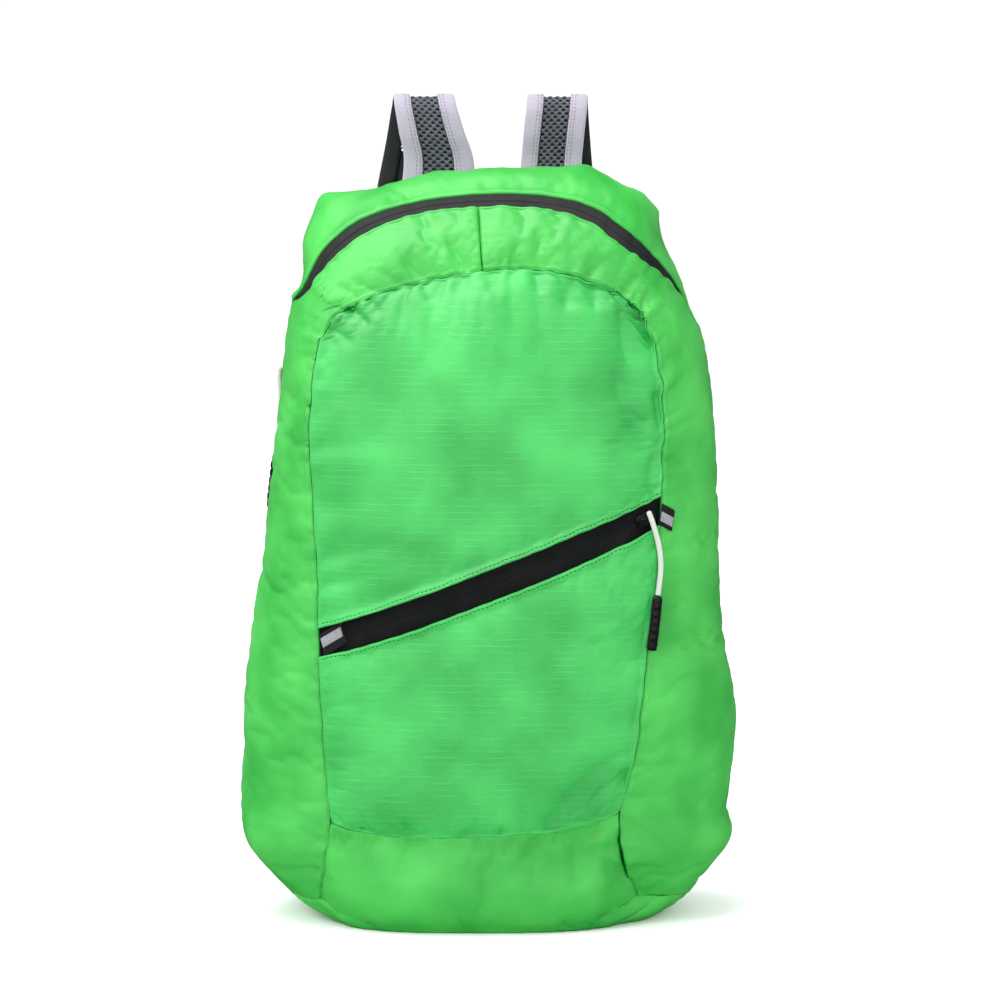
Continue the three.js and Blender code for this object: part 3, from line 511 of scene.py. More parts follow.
def hem(off):
    """Height of a folded edge that is sewn over a zip's tape, at mm from its edge."""
    lip = 1.5 * np.sqrt(np.clip(1 - (1 - np.clip(off / 0.8, 0, 1)) ** 2, 0, 1)) - 0.75
    stitch = -0.4 * np.exp(-(((off - STITCH_LINE) / 0.45) ** 2))
    fall = 1 - 0.7 * smooth_step((off - 1.5) / 5)
    return lip * fall + stitch


def valley(off, depth=0.5, wide=0.8, puff=0.9, reach=4.5):
    """Height of the cloth at mm from a plain seam: a fine groove, and the cloth swelling beside it."""
    return -depth * np.exp(-((off / wide) ** 1.5)) + puff * (1 - np.exp(-((off / reach) ** 1.5)))


# Materials
def linear(red, green, blue):
    """A colour given as it shows on a screen, from 0 to 255."""
    return tuple((c / 255 / 12.92 if c / 255 <= 0.04045 else ((c / 255 + 0.055) / 1.055) ** 2.4)
                 for c in (red, green, blue)) + (1.0,)


class Nodes:
    """Short helper to build one material's nodes."""

    def __init__(self, name):
        self.material = bpy.data.materials.new(name)
        self.material.use_nodes = True
        self.tree = self.material.node_tree
        self.shader = self.tree.nodes["Principled BSDF"]

    def add(self, kind, inputs=None, **settings):
        node = self.tree.nodes.new(kind)
        for key, value in settings.items():
            setattr(node, key, value)
        for key, value in (inputs or {}).items():
            self.put(node.inputs[key], value)
        return node

    def put(self, socket, value):
        if isinstance(value, bpy.types.NodeSocket):
            self.tree.links.new(value, socket)
        else:
            socket.default_value = value

    def maths(self, operation, a, b=0.0, c=0.0):
        return self.add("ShaderNodeMath", {0: a, 1: b, 2: c}, operation=operation).outputs[0]

    def ramp(self, value, low, high, to_low=0.0, to_high=1.0):
        return self.add("ShaderNodeMapRange", {
            "Value": value, "From Min": low, "From Max": high, "To Min": to_low, "To Max": to_high,
        }).outputs[0]

    def blend(self, share, a, b):
        node = self.add("ShaderNodeMix", data_type="RGBA")
        self.put(node.inputs[0], share)
        self.put(node.inputs[6], a)
        self.put(node.inputs[7], b)
        return node.outputs[2]

    def noise(self, vector, scale, detail=2.0, rough=0.5):
        inputs = {"Scale": scale, "Detail": detail, "Roughness": rough}
        node = self.add("ShaderNodeTexNoise", inputs)
        self.put(node.inputs["Vector"], vector)
        return node.outputs["Fac"]

    def stretch(self, vector, scale):
        node = self.add("ShaderNodeMapping", {"Scale": scale})
        self.put(node.inputs["Vector"], vector)
        return node.outputs[0]

    def coordinates(self, kind="UV"):
        return self.add("ShaderNodeTexCoord").outputs[kind]

    def bump(self, height, distance, strength=1.0):
        node = self.add("ShaderNodeBump", {"Strength": strength, "Distance": distance})
        self.put(node.inputs["Height"], height)
        self.put(self.shader.inputs["Normal"], node.outputs[0])

    def finish(self, **values):
        for key, value in values.items():
            self.put(self.shader.inputs[key.replace("_", " ")], value)
        return self.material


def ripstop(name, deep, light, rows_strength=0.5):
    """Thin nylon with faint raised threads in a small grid. UV is in centimetres."""
    n = Nodes(name)
    uv = n.coordinates("UV")
    split = n.add("ShaderNodeSeparateXYZ", {0: uv})
    lines = []
    for output, pitch, wide in ((1, 0.38, 0.1), (0, 0.40, 0.07)):
        cell = n.maths("FRACT", n.maths("DIVIDE", split.outputs[output], pitch))
        lines.append(n.ramp(n.maths("ABSOLUTE", n.maths("SUBTRACT", cell, 0.5)), wide, wide * 0.35))
    patch = n.ramp(n.noise(n.stretch(uv, (0.55, 0.9, 1)), 1.0, 2.0), 0.38, 0.62)
    rows = n.maths("MULTIPLY", lines[0], patch)
    posts = n.maths("MULTIPLY", lines[1], 0.12)
    thread = n.maths("MAXIMUM", rows, posts)
    streak = n.noise(n.stretch(uv, (2.2, 9.0, 1)), 1.0, 3.0)
    cloud = n.noise(uv, 0.2, 2.5)
    share = n.maths("MULTIPLY_ADD", n.ramp(streak, 0.3, 0.7), 0.16, n.ramp(cloud, 0.34, 0.66, 0.0, 0.75))
    share = n.maths("MULTIPLY_ADD", thread, rows_strength, share)
    colour = n.blend(share, deep, light)
    weave = n.maths("MULTIPLY_ADD", n.noise(uv, 22.0, 2.0), 0.35, n.maths("MULTIPLY", thread, rows_strength))
    n.bump(weave, 0.00016, 0.5)
    rough = n.ramp(cloud, 0.3, 0.7, 0.5, 0.6)
    return n.finish(Base_Color=colour, Roughness=rough, Sheen_Weight=0.03, Sheen_Roughness=0.35,
                    Specular_IOR_Level=1.0, IOR=1.43)


def speckled(name, deep, light, scale, roughness, height=0.0001, shine=0.5):
    """A plain finish with fine grain, for moulded and coated pieces."""
    n = Nodes(name)
    place = n.coordinates("Object")
    grain = n.noise(place, scale, 3.0, 0.6)
    cloud = n.noise(place, scale * 0.06, 2.0)
    mixed = n.maths("MULTIPLY_ADD", n.ramp(grain, 0.3, 0.7), 0.7, n.ramp(cloud, 0.3, 0.7, 0, 0.3))
    n.bump(grain, height, 0.6)
    return n.finish(Base_Color=n.blend(mixed, deep, light), Specular_IOR_Level=shine,
                    Roughness=n.ramp(grain, 0.25, 0.75, roughness - 0.07, roughness + 0.07))


def ribbed(name, deep, light, pitch, roughness, slant=0.0, sheen=0.2):
    """Woven ribbon or tape: fine ribs across it, from UV in centimetres."""
    n = Nodes(name)
    uv = n.coordinates("UV")
    split = n.add("ShaderNodeSeparateXYZ", {0: uv})
    run = n.maths("MULTIPLY_ADD", split.outputs[0], slant, split.outputs[1])
    wave = n.maths("SINE", n.maths("MULTIPLY", run, 2 * math.pi / pitch))
    cross = n.maths("SINE", n.maths("MULTIPLY", split.outputs[0], 2 * math.pi / (pitch * 0.8)))
    weave = n.maths("MULTIPLY", wave, n.maths("MULTIPLY_ADD", cross, 0.4, 0.6))
    fuzz = n.noise(uv, 14.0, 3.0)
    share = n.maths("MULTIPLY_ADD", weave, 0.22, n.ramp(fuzz, 0.25, 0.75, 0.15, 0.85))
    n.bump(weave, 0.00012, 0.6)
    return n.finish(Base_Color=n.blend(share, deep, light), Roughness=roughness, Sheen_Weight=sheen,
                    Sheen_Roughness=0.5)


# Both are the same ripstop: the copy for the sides, base and back is painted a little yellower and the front
# copy a little bluer, as painted tint of how the light falls on each side.
CLOTH_GREEN = ripstop("ripstop_cloth", linear(3, 140, 33), linear(50, 170, 58), 0.1)
PANEL_GREEN = ripstop("ripstop_front", linear(1, 138, 46), linear(40, 170, 72), 0.4)
TAPE_BLACK = speckled("zip_tape", linear(5, 5, 6), linear(20, 21, 22), 1800, 0.7, 0.00012, shine=0.2)
# Painted top light: the main zip's tape, which faces up, is a lighter and shinier copy of the black pocket
# tape.
TAPE_BLACK_PAINTED_TOP_LIGHT = speckled("main_zip_tape", linear(14, 15, 15), linear(34, 36, 35), 1800, 0.7, 0.00012, shine=0.3)
SLIDER_BLACK = speckled("slider_enamel", linear(8, 8, 9), linear(20, 20, 22), 700, 0.3, 0.00002)
RIBBON_BLACK = ribbed("black_ribbon", linear(4, 4, 5), linear(14, 14, 16), 0.09, 0.8, 0.0, 0.05)
STRIPE_GREY = ribbed("reflective_stripe", linear(84, 84, 91), linear(144, 144, 152), 0.05, 0.38)
CORD_GREY = ribbed("pull_cord", linear(128, 138, 128), linear(192, 200, 190), 0.12, 0.7, 0.9)
END_BLACK = speckled("moulded_end", linear(4, 4, 5), linear(14, 14, 16), 900, 0.4, 0.00004)
NET_GREY = speckled("strap_net", linear(36, 37, 45), linear(92, 94, 104), 1500, 0.6, 0.0001)
# Painted shade: the net's underside faces get a darker copy of the net's grey.
NET_UNDERSIDE_PAINTED_SHADE = speckled("strap_net_underside_painted_shade", linear(12, 12, 15), linear(34, 34, 40), 1500, 0.65, 0.0001)
LINING_DARK = speckled("strap_lining", linear(14, 14, 16), linear(34, 34, 38), 1500, 0.7, 0.0001)
BINDING_GREY = ribbed("strap_binding", linear(122, 117, 130), linear(162, 157, 170), 0.06, 0.72)
BUCKLE_BLACK = speckled("buckle_plastic", linear(10, 10, 11), linear(26, 26, 28), 900, 0.45, 0.00005)
# Dark green of the pocket stitches and of the seam lines, much darker than the cloth; at the seams it also
# stands for painted shade in the seam's groove.
THREAD_AND_SEAM_SHADE_GREEN = speckled("thread_and_painted_seam_shade", linear(0, 66, 18), linear(4, 92, 30), 1500, 0.8, shine=0.05)
THREAD_GREY = speckled("strap_thread", linear(84, 80, 90), linear(140, 136, 146), 1500, 0.6)


# The camera stands where the photographer's did
ELEVATION = 7
CAMERA_AWAY = 2400
AIM = np.array([6.762, 0, 245.706])
LENS = 146.94
camera_data = bpy.data.cameras.new("photo_camera")
camera_data.lens = LENS
camera_data.sensor_width = 36
camera_data.clip_end = 4000
camera = bpy.data.objects.new("photo_camera", camera_data)
bpy.context.collection.objects.link(camera)
_tilt = math.radians(ELEVATION)
camera.location = to_metres(AIM + CAMERA_AWAY * np.array([0, -math.cos(_tilt), math.sin(_tilt)]))
camera.rotation_euler = (math.pi / 2 - _tilt, 0, 0)
bpy.context.scene.camera = camera


# Pull cords: their routes are the same points as in the solids
def smooth_curve(route, shares):
    """The same smooth curve through a route's points as in the solids."""
    route = np.asarray(route, float)
    last = len(route) - 1
    full = np.vstack([2 * route[0] - route[1], route, 2 * route[-1] - route[-2]])
    result = []
    for share in shares:
        k = min(int(share * last), last - 1)
        w = share * last - k
        a, b, c, d = full[k:k + 4]
        e, f, g = (max(np.linalg.norm(q - p) ** 0.5, 1e-4) for p, q in ((a, b), (b, c), (c, d)))
        m = ((b - a) / e - (c - a) / (e + f) + (c - b) / f) * f
        n = ((c - b) / f - (d - b) / (f + g) + (d - c) / g) * f
        result.append(b + m * w + (3 * (c - b) - 2 * m - n) * w**2 + (2 * (b - c) + m + n) * w**3)
    return np.array(result)


POCKET_CORD_ROUTE = [
    [91.2, -75, 248.6], [92.3, -75, 246], [93.3, -74.7, 243.2], [94.3, -74.1, 240.2],
    [95.3, -73.4, 236.8], [96.3, -72.9, 233.2], [97.2, -72.5, 229.4], [97.9, -72.3, 225.6],
    [98.4, -72.2, 221.6], [98.6, -72.2, 217.6], [98.5, -72.2, 213.6], [98.2, -72.3, 209.8],
    [97.8, -72.4, 206], [97.4, -72.5, 202.8], [97, -72.6, 200],
]
POCKET_END = ([96.9, -73, 199.4], [-0.047, -0.019, -0.481], [-0.109, -0.038, -0.981])
MAIN_CORD_ROUTE = [
    [-122.6, 14, 323], [-123, 14, 319.6], [-123.1, 14, 316], [-123, 14, 312.4],
    [-122.8, 14, 309], [-122.6, 14, 305.6], [-122.5, 14, 302.2], [-122.5, 14, 298.8],
    [-122.6, 14, 295.4], [-122.8, 14, 292], [-123, 14, 288.6], [-123.3, 14, 285.2],
    [-123.6, 14, 281.8], [-124, 14, 278.4], [-124.4, 14, 275.2], [-124.8, 14, 272.4],
]
MAIN_END = ([-125.4, 14, 271.8], [-0.059, 0, -0.506], [-0.119, 0, -1])


def frames_along(line, hint):
    """Directions at each point of a line: along it, wide and thick. Wide stays near the hint."""
    along = unit(np.gradient(line, axis=0))
    thick = unit(np.cross(along, hint))
    return along, unit(np.cross(thick, along)), -thick


def tube(line, hint, profile, grow=None):
    """Rings of a closed profile along a line. profile is (wide, thick) pairs in mm."""
    _, wide, thick = frames_along(line, hint)
    grow = np.ones(len(line)) if grow is None else grow
    profile = np.asarray(profile)
    return (line[:, None] + wide[:, None] * (profile[None, :, :1] * grow[:, None, None])
            + thick[:, None] * (profile[None, :, 1:] * grow[:, None, None]))


def capped(rings):
    """Vertices and faces of a tube of rings with closed ends."""
    n, m = rings.shape[:2]
    vertices = np.vstack([rings.reshape(-1, 3), rings[0].mean(0), rings[-1].mean(0)])
    faces = grid_faces(n, m, closed=True).tolist()
    first, last = n * m, n * m + 1
    faces += [[first, (k + 1) % m, k] for k in range(m)]
    faces += [[last, (n - 1) * m + k, (n - 1) * m + (k + 1) % m] for k in range(m)]
    return vertices, faces


def ring_uv(rings):
    """UV in mm round and along a tube, for its rings and its two end points."""
    n, m = rings.shape[:2]
    around = np.linspace(0, 1, m)[None, :] * np.linalg.norm(np.diff(rings[n // 2], axis=0), axis=1).sum()
    along = np.concatenate([[0], np.cumsum(np.linalg.norm(np.diff(rings.mean(1), axis=0), axis=1))])
    uv = np.stack(np.broadcast_arrays(around, along[:, None]), -1).reshape(-1, 2)
    return np.vstack([uv, [0, 0], [0, along[-1]]])


def round_profile(diameter, sides=20):
    angle = np.linspace(0, 2 * math.pi, sides, endpoint=False)
    return np.stack([np.cos(angle), np.sin(angle)], -1) * diameter / 2


def pull_cord(name, route, hint):
    """A braided cord with a rounded top end, as a mesh tube."""
    line = smooth_curve(route, np.linspace(0, 1, 120))
    length = np.concatenate([[0], np.cumsum(np.linalg.norm(np.diff(line, axis=0), axis=1))])
    grow = np.sqrt(np.clip(1 - (1 - np.clip(length / (CORD / 2), 0, 1)) ** 2, 0.01, 1))
    rings = tube(line, hint, round_profile(CORD), grow)
    turn = np.arange(20) / 20 * 2 * math.pi
    braid = 0.045 * np.sin(3 * turn[None, :] + length[:, None] * 2.6) * np.sin(
        3 * turn[None, :] - length[:, None] * 2.6)
    rings += (rings - line[:, None]) * braid[..., None]
    vertices, faces = capped(rings)
    return new_object(name, vertices, faces, CORD_GREY, ring_uv(rings)), line, length[-1]


def pull_end(name, end, hint):
    """A moulded end with a row of small raised diamonds on its front."""
    top, middle, tip = end
    top = np.array(top, float)
    route = [top, top + np.array(middle) * END_LENGTH, top + np.array(tip) * END_LENGTH]
    shares = np.concatenate([[0, 0.006, 0.02, 0.045], np.linspace(0.08, 0.92, 60), [0.955, 0.98, 0.994, 1]])
    line = smooth_curve(route, shares)
    angle = np.linspace(0, 2 * math.pi, 48, endpoint=False)
    c, s = np.cos(angle), np.sin(angle)
    profile = np.stack([2.95 * np.sign(c) * abs(c) ** 0.55, 2.2 * np.sign(s) * abs(s) ** 0.6], -1)
    grow = np.interp(shares, [0, 0.006, 0.02, 0.045, 0.08, 0.955, 0.98, 0.994, 1],
                     [0.35, 0.62, 0.8, 0.93, 0.97, 1, 0.93, 0.76, 0.45])
    rings = tube(line, hint, profile, grow)
    _, wide, thick = frames_along(line, hint)
    run = shares * END_LENGTH
    across = profile[:, 0][None, :] * grow[:, None]
    facing = np.clip(profile[:, 1] / 2.2, 0, 1)[None, :] - np.clip(-profile[:, 1] / 2.2, 0, 1)[None, :]
    cell = ((run[:, None] - 4.4) / 4.6) % 1 * 4.6 - 2.3
    inside = (run[:, None] > 4.4) & (run[:, None] < 4.4 + 5 * 4.6)
    diamond = smooth_step((1.55 - abs(across) - abs(cell) * 0.85) / 0.5) * inside
    rings += thick[:, None] * (0.4 * diamond * facing)[..., None]
    vertices, faces = capped(rings)
    return new_object(name, vertices, faces, END_BLACK, ring_uv(rings))


ACROSS_BAG = np.array([1.0, 0, 0])
ALONG_BAG = np.array([0, 1.0, 0])
for pull_name, cord_route, moulded, hint in (
    ("pocket", POCKET_CORD_ROUTE, POCKET_END, ACROSS_BAG),
    ("main", MAIN_CORD_ROUTE, MAIN_END, ALONG_BAG),
):
    cord_piece, cord_line, cord_length = pull_cord(f"{pull_name}_cord", cord_route, hint)
    end_piece = pull_end(f"{pull_name}_cord_end", moulded, hint)
    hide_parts(f"{pull_name}_pull_cord")
    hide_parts(f"{pull_name}_pull_end")


# Cloth panels
def even(field, rows, columns):
    """A field on an even grid, read smoothly at shares of its two ways."""
    def weights(share, count):
        x = np.clip(share, 0, 1) * (count - 1)
        k = np.minimum(np.floor(x).astype(int), count - 2)
        table = np.zeros((len(x), count))
        for a, weight in enumerate(curve_weights(x - k)):
            np.add.at(table, (np.arange(len(x)), np.clip(k + a - 1, 0, count - 1)), weight)
        return table
    by_row, by_column = weights(rows, field.shape[0]), weights(columns, field.shape[1])
    return np.einsum("ik,klc,jl->ijc", by_row, field, by_column)


def smoothed(field, times):
    """A field on a grid, averaged with its neighbours a number of times."""
    for _ in range(times):
        wide = np.pad(field, ((1, 1), (1, 1), (0, 0)), mode="edge")
        field = (wide[:-2, 1:-1] + wide[2:, 1:-1] + wide[1:-1, :-2] + wide[1:-1, 2:]) / 4
    return field


# The simulation's scale, steps and cloth, and how much of the swelling is taken out again
SIM_SCALE = 0.01
SIM_FRAMES = 20
SIM_QUALITY = 6
SIM_MASS = 0.15
STRETCH_STIFFNESS = 25
SHEAR_STIFFNESS = 8
BEND_STIFFNESS = 0.08
DAMPING = 5
PRESSURE = 1.0
GATHER_REACH = 12
SMOOTHINGS = 24
SWELLING_TAKEN = 0.9


def settled(p, slack, gather, cap, seed):
    """How far each point of a panel moves, in mm, when its cloth is a little too large for its
    seams and is pressed out by what the bag is stuffed with. slack is how much too large it is
    in the middle and gather along the seams, as shares."""
    n, m = p.shape[:2]
    normal = outward(p)
    start = p + normal * (0.25 * np.random.default_rng(seed).uniform(-1, 1, (n, m)))[..., None]
    faces = grid_faces(n, m)
    if np.dot(np.cross(p[1, 0] - p[0, 0], p[0, 1] - p[0, 0]), normal[0, 0]) < 0:
        faces = faces[:, ::-1]
    mesh = bpy.data.meshes.new("settling")
    mesh.from_pydata((start.reshape(-1, 3) * SIM_SCALE).tolist(), [], faces.tolist())
    piece = bpy.data.objects.new("settling", mesh)
    bpy.context.collection.objects.link(piece)
    a, b = run_lengths(p)
    off = np.minimum(np.minimum(a, a[-1:] - a), np.minimum(b, b[:, -1:] - b)).ravel()
    pins = piece.vertex_groups.new(name="pins")
    pins.add(np.flatnonzero(off < 0.5).tolist(), 1.0, "REPLACE")
    gathers = piece.vertex_groups.new(name="gathers")
    uneven = np.clip(0.55 + 0.9 * noise(a, b, 26, 26, seed).ravel(), 0, 1)
    for k, weight in enumerate(uneven * np.exp(-((off / GATHER_REACH) ** 2))):
        gathers.add([k], float(weight), "REPLACE")
    modifier = piece.modifiers.new("cloth", "CLOTH")
    rules = modifier.settings
    rules.quality = SIM_QUALITY
    rules.mass = SIM_MASS
    rules.tension_stiffness = rules.compression_stiffness = STRETCH_STIFFNESS
    rules.shear_stiffness = SHEAR_STIFFNESS
    rules.bending_stiffness = BEND_STIFFNESS
    rules.tension_damping = rules.compression_damping = rules.shear_damping = DAMPING
    rules.vertex_group_mass = "pins"
    rules.use_pressure = True
    rules.uniform_pressure_force = PRESSURE
    rules.vertex_group_shrink = "gathers"
    rules.shrink_min = -slack
    rules.shrink_max = -gather
    rules.effector_weights.gravity = 0
    modifier.collision_settings.use_collision = False
    for step in range(1, SIM_FRAMES + 1):
        bpy.context.scene.frame_set(step)
    result = piece.evaluated_get(bpy.context.evaluated_depsgraph_get()).data
    moved = np.empty(n * m * 3)
    result.vertices.foreach_get("co", moved)
    bpy.context.scene.frame_set(1)
    bpy.data.objects.remove(piece)
    moved = moved.reshape(n, m, 3) / SIM_SCALE - p
    moved -= SWELLING_TAKEN * smoothed(moved, SMOOTHINGS)
    far = np.linalg.norm(moved, axis=-1, keepdims=True)
    moved *= cap * np.tanh(far / cap) / np.maximum(far, 1e-6)
    moved[0] = moved[-1] = 0
    moved[:, 0] = moved[:, -1] = 0
    print("settled", n, m, "mean mm %.2f most %.2f" % (far.mean(), far.max()))
    return moved


SIM_CELL = 4.5


def relaxed(surface, share_a, share_b, seed, slack=0.014, gather=0.05, cap=4):
    """A panel's points at shares of its two ways, once its cloth has settled."""
    a, b = run_lengths(surface(np.linspace(0, 1, 40), np.linspace(0, 1, 40)))
    n, m = (max(8, int(far.max() / SIM_CELL)) for far in (a, b))
    rough = surface(np.linspace(0, 1, n), np.linspace(0, 1, m))
    moved = settled(rough, slack, gather, cap, seed)
    return surface(share_a, share_b) + even(moved, share_a, share_b)


SKIRT_DROP = 2.6
SKIRT_REACH = 0.4


def tucked(p, down):
    """The grid with one more row on each side, where the cloth is tucked in at its seams."""
    ways = unit(down) * SKIRT_DROP
    for turn in range(4):
        edge = p[:1] + unit(p[:1] - p[1:2]) * SKIRT_REACH + ways[:1]
        p = np.concatenate([edge, p])
        ways = np.concatenate([ways[:1], ways])
        p, ways = (np.rot90(v) for v in (p, ways))
    return p


def widened(uv):
    return np.pad(uv, ((1, 1), (1, 1), (0, 0)), mode="edge")


def cloth(name, node, p, heights, uv, material=CLOTH_GREEN):
    """A panel from a grid of outer points, pushed out by heights in mm."""
    p = p + outward(p) * heights[..., None]
    laid = p
    p = tucked(p, -outward(p))
    p[..., 2] = np.maximum(p[..., 2], 0.05)
    n, m = p.shape[:2]
    faces = grid_faces(n, m)
    centre = p[n // 2, m // 2]
    spread = np.cross(p[n // 2 + 1, m // 2] - centre, p[n // 2, m // 2 + 1] - centre)
    if np.dot(spread, centre - BAG_MIDDLE) < 0:
        faces = faces[:, ::-1]
    piece = new_object(name, p.reshape(-1, 3), faces.tolist(), material, widened(uv).reshape(-1, 2))
    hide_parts(node)
    return piece, laid


def line_at(p, distance, value):
    """The line over a grid of points where a distance along its second way has a value."""
    share = [np.interp(value, row, np.arange(len(row))) for row in distance]
    k = np.minimum(np.floor(share).astype(int), p.shape[1] - 2)
    rows = np.arange(len(p))
    return mix(p[rows, k], p[rows, k + 1], share - k)


# Stitches: pitch, length and thickness in mm
POCKET_STITCH = (2.6, 1.5, 0.55)
SEAM_STITCH = (1.9, 2.1, 1.15)
CENTRE_STITCH = (1.9, 2.1, 0.5)
STRAP_STITCH = (2.3, 1.5, 0.6)


def stitches(name, lines, pitch, length, wide, material, slot, lift=0.05):
    """Small rounded stitches along lines on the cloth. A line is (points, outward directions)."""
    ball = []
    for x, scale in ((-0.5, 0.35), (-0.3, 0.85), (0, 1), (0.3, 0.85), (0.5, 0.35)):
        angle = np.arange(6) / 6 * 2 * math.pi
        ball.append(np.stack([np.full(6, x), np.cos(angle) * scale / 2, np.sin(angle) * scale / 2], -1))
    ball = np.array(ball)
    vertices, faces = [], []
    pattern = grid_faces(5, 6, closed=True).tolist() + [list(range(6))[::-1], list(range(24, 30))]
    for line, normals in lines:
        run = np.concatenate([[0], np.cumsum(np.linalg.norm(np.diff(line, axis=0), axis=1))])
        for place in np.arange(pitch, run[-1] - pitch / 2, pitch):
            at, ahead, up = (np.array([np.interp(q, run, v[:, c]) for c in range(3)])
                             for q, v in ((place, line), (place + 0.3, line), (place, normals)))
            along = unit(ahead - at)
            up = unit(up - along * np.dot(up, along))
            beside = np.cross(up, along)
            shape = (at + up * lift + ball[..., :1] * along * length + ball[..., 1:2] * beside * wide
                     + ball[..., 2:] * up * wide * 0.8)
            faces += [[k + len(vertices) * 30 for k in face] for face in pattern]
            vertices.append(shape.reshape(-1, 3))
    new_object(name, np.vstack(vertices), faces, material)


# Side panel: places along it that are evenly spread in mm
_fine = np.linspace(0, FOOT_RIGHT, 5201)
_line = plain_side(_fine, 0.3)
_run = np.concatenate([[0], np.cumsum(np.linalg.norm(np.diff(_line, axis=0), axis=1))])


def spread_rows(start, end, pitch):
    low, high = np.interp([start, end], _fine, _run)
    count = int((high - low) / pitch)
    return np.interp(np.linspace(low, high, count + 1), _run, _fine)


def side_uv(u, p):
    """UV of the side panel in mm: along it, and from its front seam towards the back."""
    along = np.interp(u, _fine, _run)
    off = run_lengths(p)[1]
    return np.stack([off, along], -1), along, off


def zip_taper(u):
    """How wide the main zip's opening is, from 0 beyond its ends to 1 over its length."""
    along = np.interp(u, _fine, _run)
    low, high = np.interp([ZIP_END_LEFT, ZIP_END_RIGHT], _fine, _run)
    return smooth_step((along - low + 2) / 4) * smooth_step((high + 2 - along) / 4)


def side_part(rows, low, high):
    """The side panel between two shares of its width, as a surface over shares of its two ways."""
    def surface(share_a, share_b):
        u = np.interp(share_a * (len(rows) - 1), np.arange(len(rows)), rows)
        start, end = low(u), high(u)
        return side(u[:, None], start[:, None] + (end - start)[:, None] * share_b[None, :])
    return surface


# How far from the zip's middle its hems lie, as a share of the tape's half width
HEM_REACH = 0.84


def hem_share(edge):
    """Where the side panel's cloth ends at the main zip, as a share of its width."""
    def share(u):
        open_here = zip_taper(u)
        return zip_share(u, edge) * open_here + zip_share(u, 0) * (1 - open_here)
    return share


# Folds of the side panel: place along it, mm from the front seam, turn, half length, width, height
SIDE_CREASES = [
    [12.35, 11, 116, 12, 4.5, -1.9],
    [11.35, 8, 118, 9, 4.5, -1.4],
    [10.75, 7, 110, 7, 3.5, -0.9],
    [10.1, 7, 120, 8, 3, -1.5],
    [9.7, 8, 105, 8, 3, -1.3],
    [9.3, 22, 80, 20, 5, 1.1],
    [13.6, 9, 70, 9, 4, -1],
    [14.5, 8, 62, 8, 4, -1],
    [15.6, 9, 60, 9, 4, -1],
    [16.6, 9, 75, 9, 3.5, -1.4],
    [17.2, 8, 95, 8, 3, -1.4],
    [17.9, 12, 80, 11, 3.5, -1.2],
    [24.3, 12, 60, 16, 4, -1.5],
    [23.9, 18, 55, 16, 4, -1.3],
    [25.2, 10, 100, 11, 4, -1.6],
    [25.7, 14, 130, 10, 4, -1.4],
    [1.6, 10, 60, 9, 3.5, -1.2],
    [0.9, 12, 40, 10, 4, -1.3],
    [2.4, 11, 100, 10, 4, -1],
]


def along_at(u):
    return np.interp(u, _fine, _run)


for side_name, start, end, seed in (("left", 0, CENTRE_SEAM, 11), ("right", CENTRE_SEAM, FOOT_RIGHT, 23)):
    rows = spread_rows(start, end, 1.5)
    shares = crowded(84)
    surface = side_part(rows, lambda u: 0 * u, hem_share(-HEM_REACH))
    p = relaxed(surface, np.linspace(0, 1, len(rows)), shares, seed, 0.012, 0.02)
    uv, along, off = side_uv(rows[:, None] + 0 * shares[None, :], p)
    to_edge = off[:, -1:] - off
    total = along.max()
    h = puckers(along, off, total, seed, 9.5, 3.2, 10, 0.5)
    zip_here = zip_taper(rows)[:, None]
    h += zip_here * puckers(along, to_edge, total, seed + 1, 12, 4, 12, 0.2, 4.0)
    h += 1.0 * crumple(along, off, seed + 2, 48, 0.9) * smooth_step(off / 12) * smooth_step(to_edge / 10)
    h += creases(along, off, [[along_at(u), *rest] for u, *rest in SIDE_CREASES]) * smooth_step(off / 2)
    h += valley(off) + 0.45 * np.exp(-(((off - 2.6) / 1.1) ** 2))
    h += zip_here * hem(to_edge) + (1 - zip_here) * valley(to_edge, 0.6, 1.0, 0.3)
    to_centre = abs(along - along_at(CENTRE_SEAM))
    h += valley(to_centre, 0.7, 0.7, 0.5, 3) + puckers(off, to_centre, 90, seed + 5, 8, 2.4, 8, 0.35)
    cloth(f"side_cloth_{side_name}", f"gusset_front_{side_name}", p, h, uv)

rows = spread_rows(0, FOOT_RIGHT, 1.7)
shares = crowded(90)
surface = side_part(rows, hem_share(HEM_REACH), lambda u: 1 + 0 * u)
p = relaxed(surface, np.linspace(0, 1, len(rows)), shares, 31, 0.012, 0.05)
uv, along, off = side_uv(rows[:, None] + 0 * shares[None, :], p)
to_back = off[:, -1:] - off
total = along.max()
zip_here = zip_taper(rows)[:, None]
h = zip_here * puckers(along, off, total, 31, 10, 3.8, 17, 0.9, 4.0) - 1.2
h -= 6 * np.exp(-(((rows[:, None] - 9.1) / 0.6) ** 2)) * smooth_step(off / 18) * smooth_step(to_back / 12)
h += puckers(along, to_back, total, 33, 8, 3.0, 16, 1.1)
h += 1.7 * crumple(along, off, 35, 36, 1.2) * smooth_step(off / 10) * smooth_step(to_back / 10)
h += zip_here * hem(off) + (1 - zip_here) * valley(off, 0.6, 1.0, 0.3) + valley(to_back)
cloth("side_cloth_rear", "gusset_rear", p, h, uv)

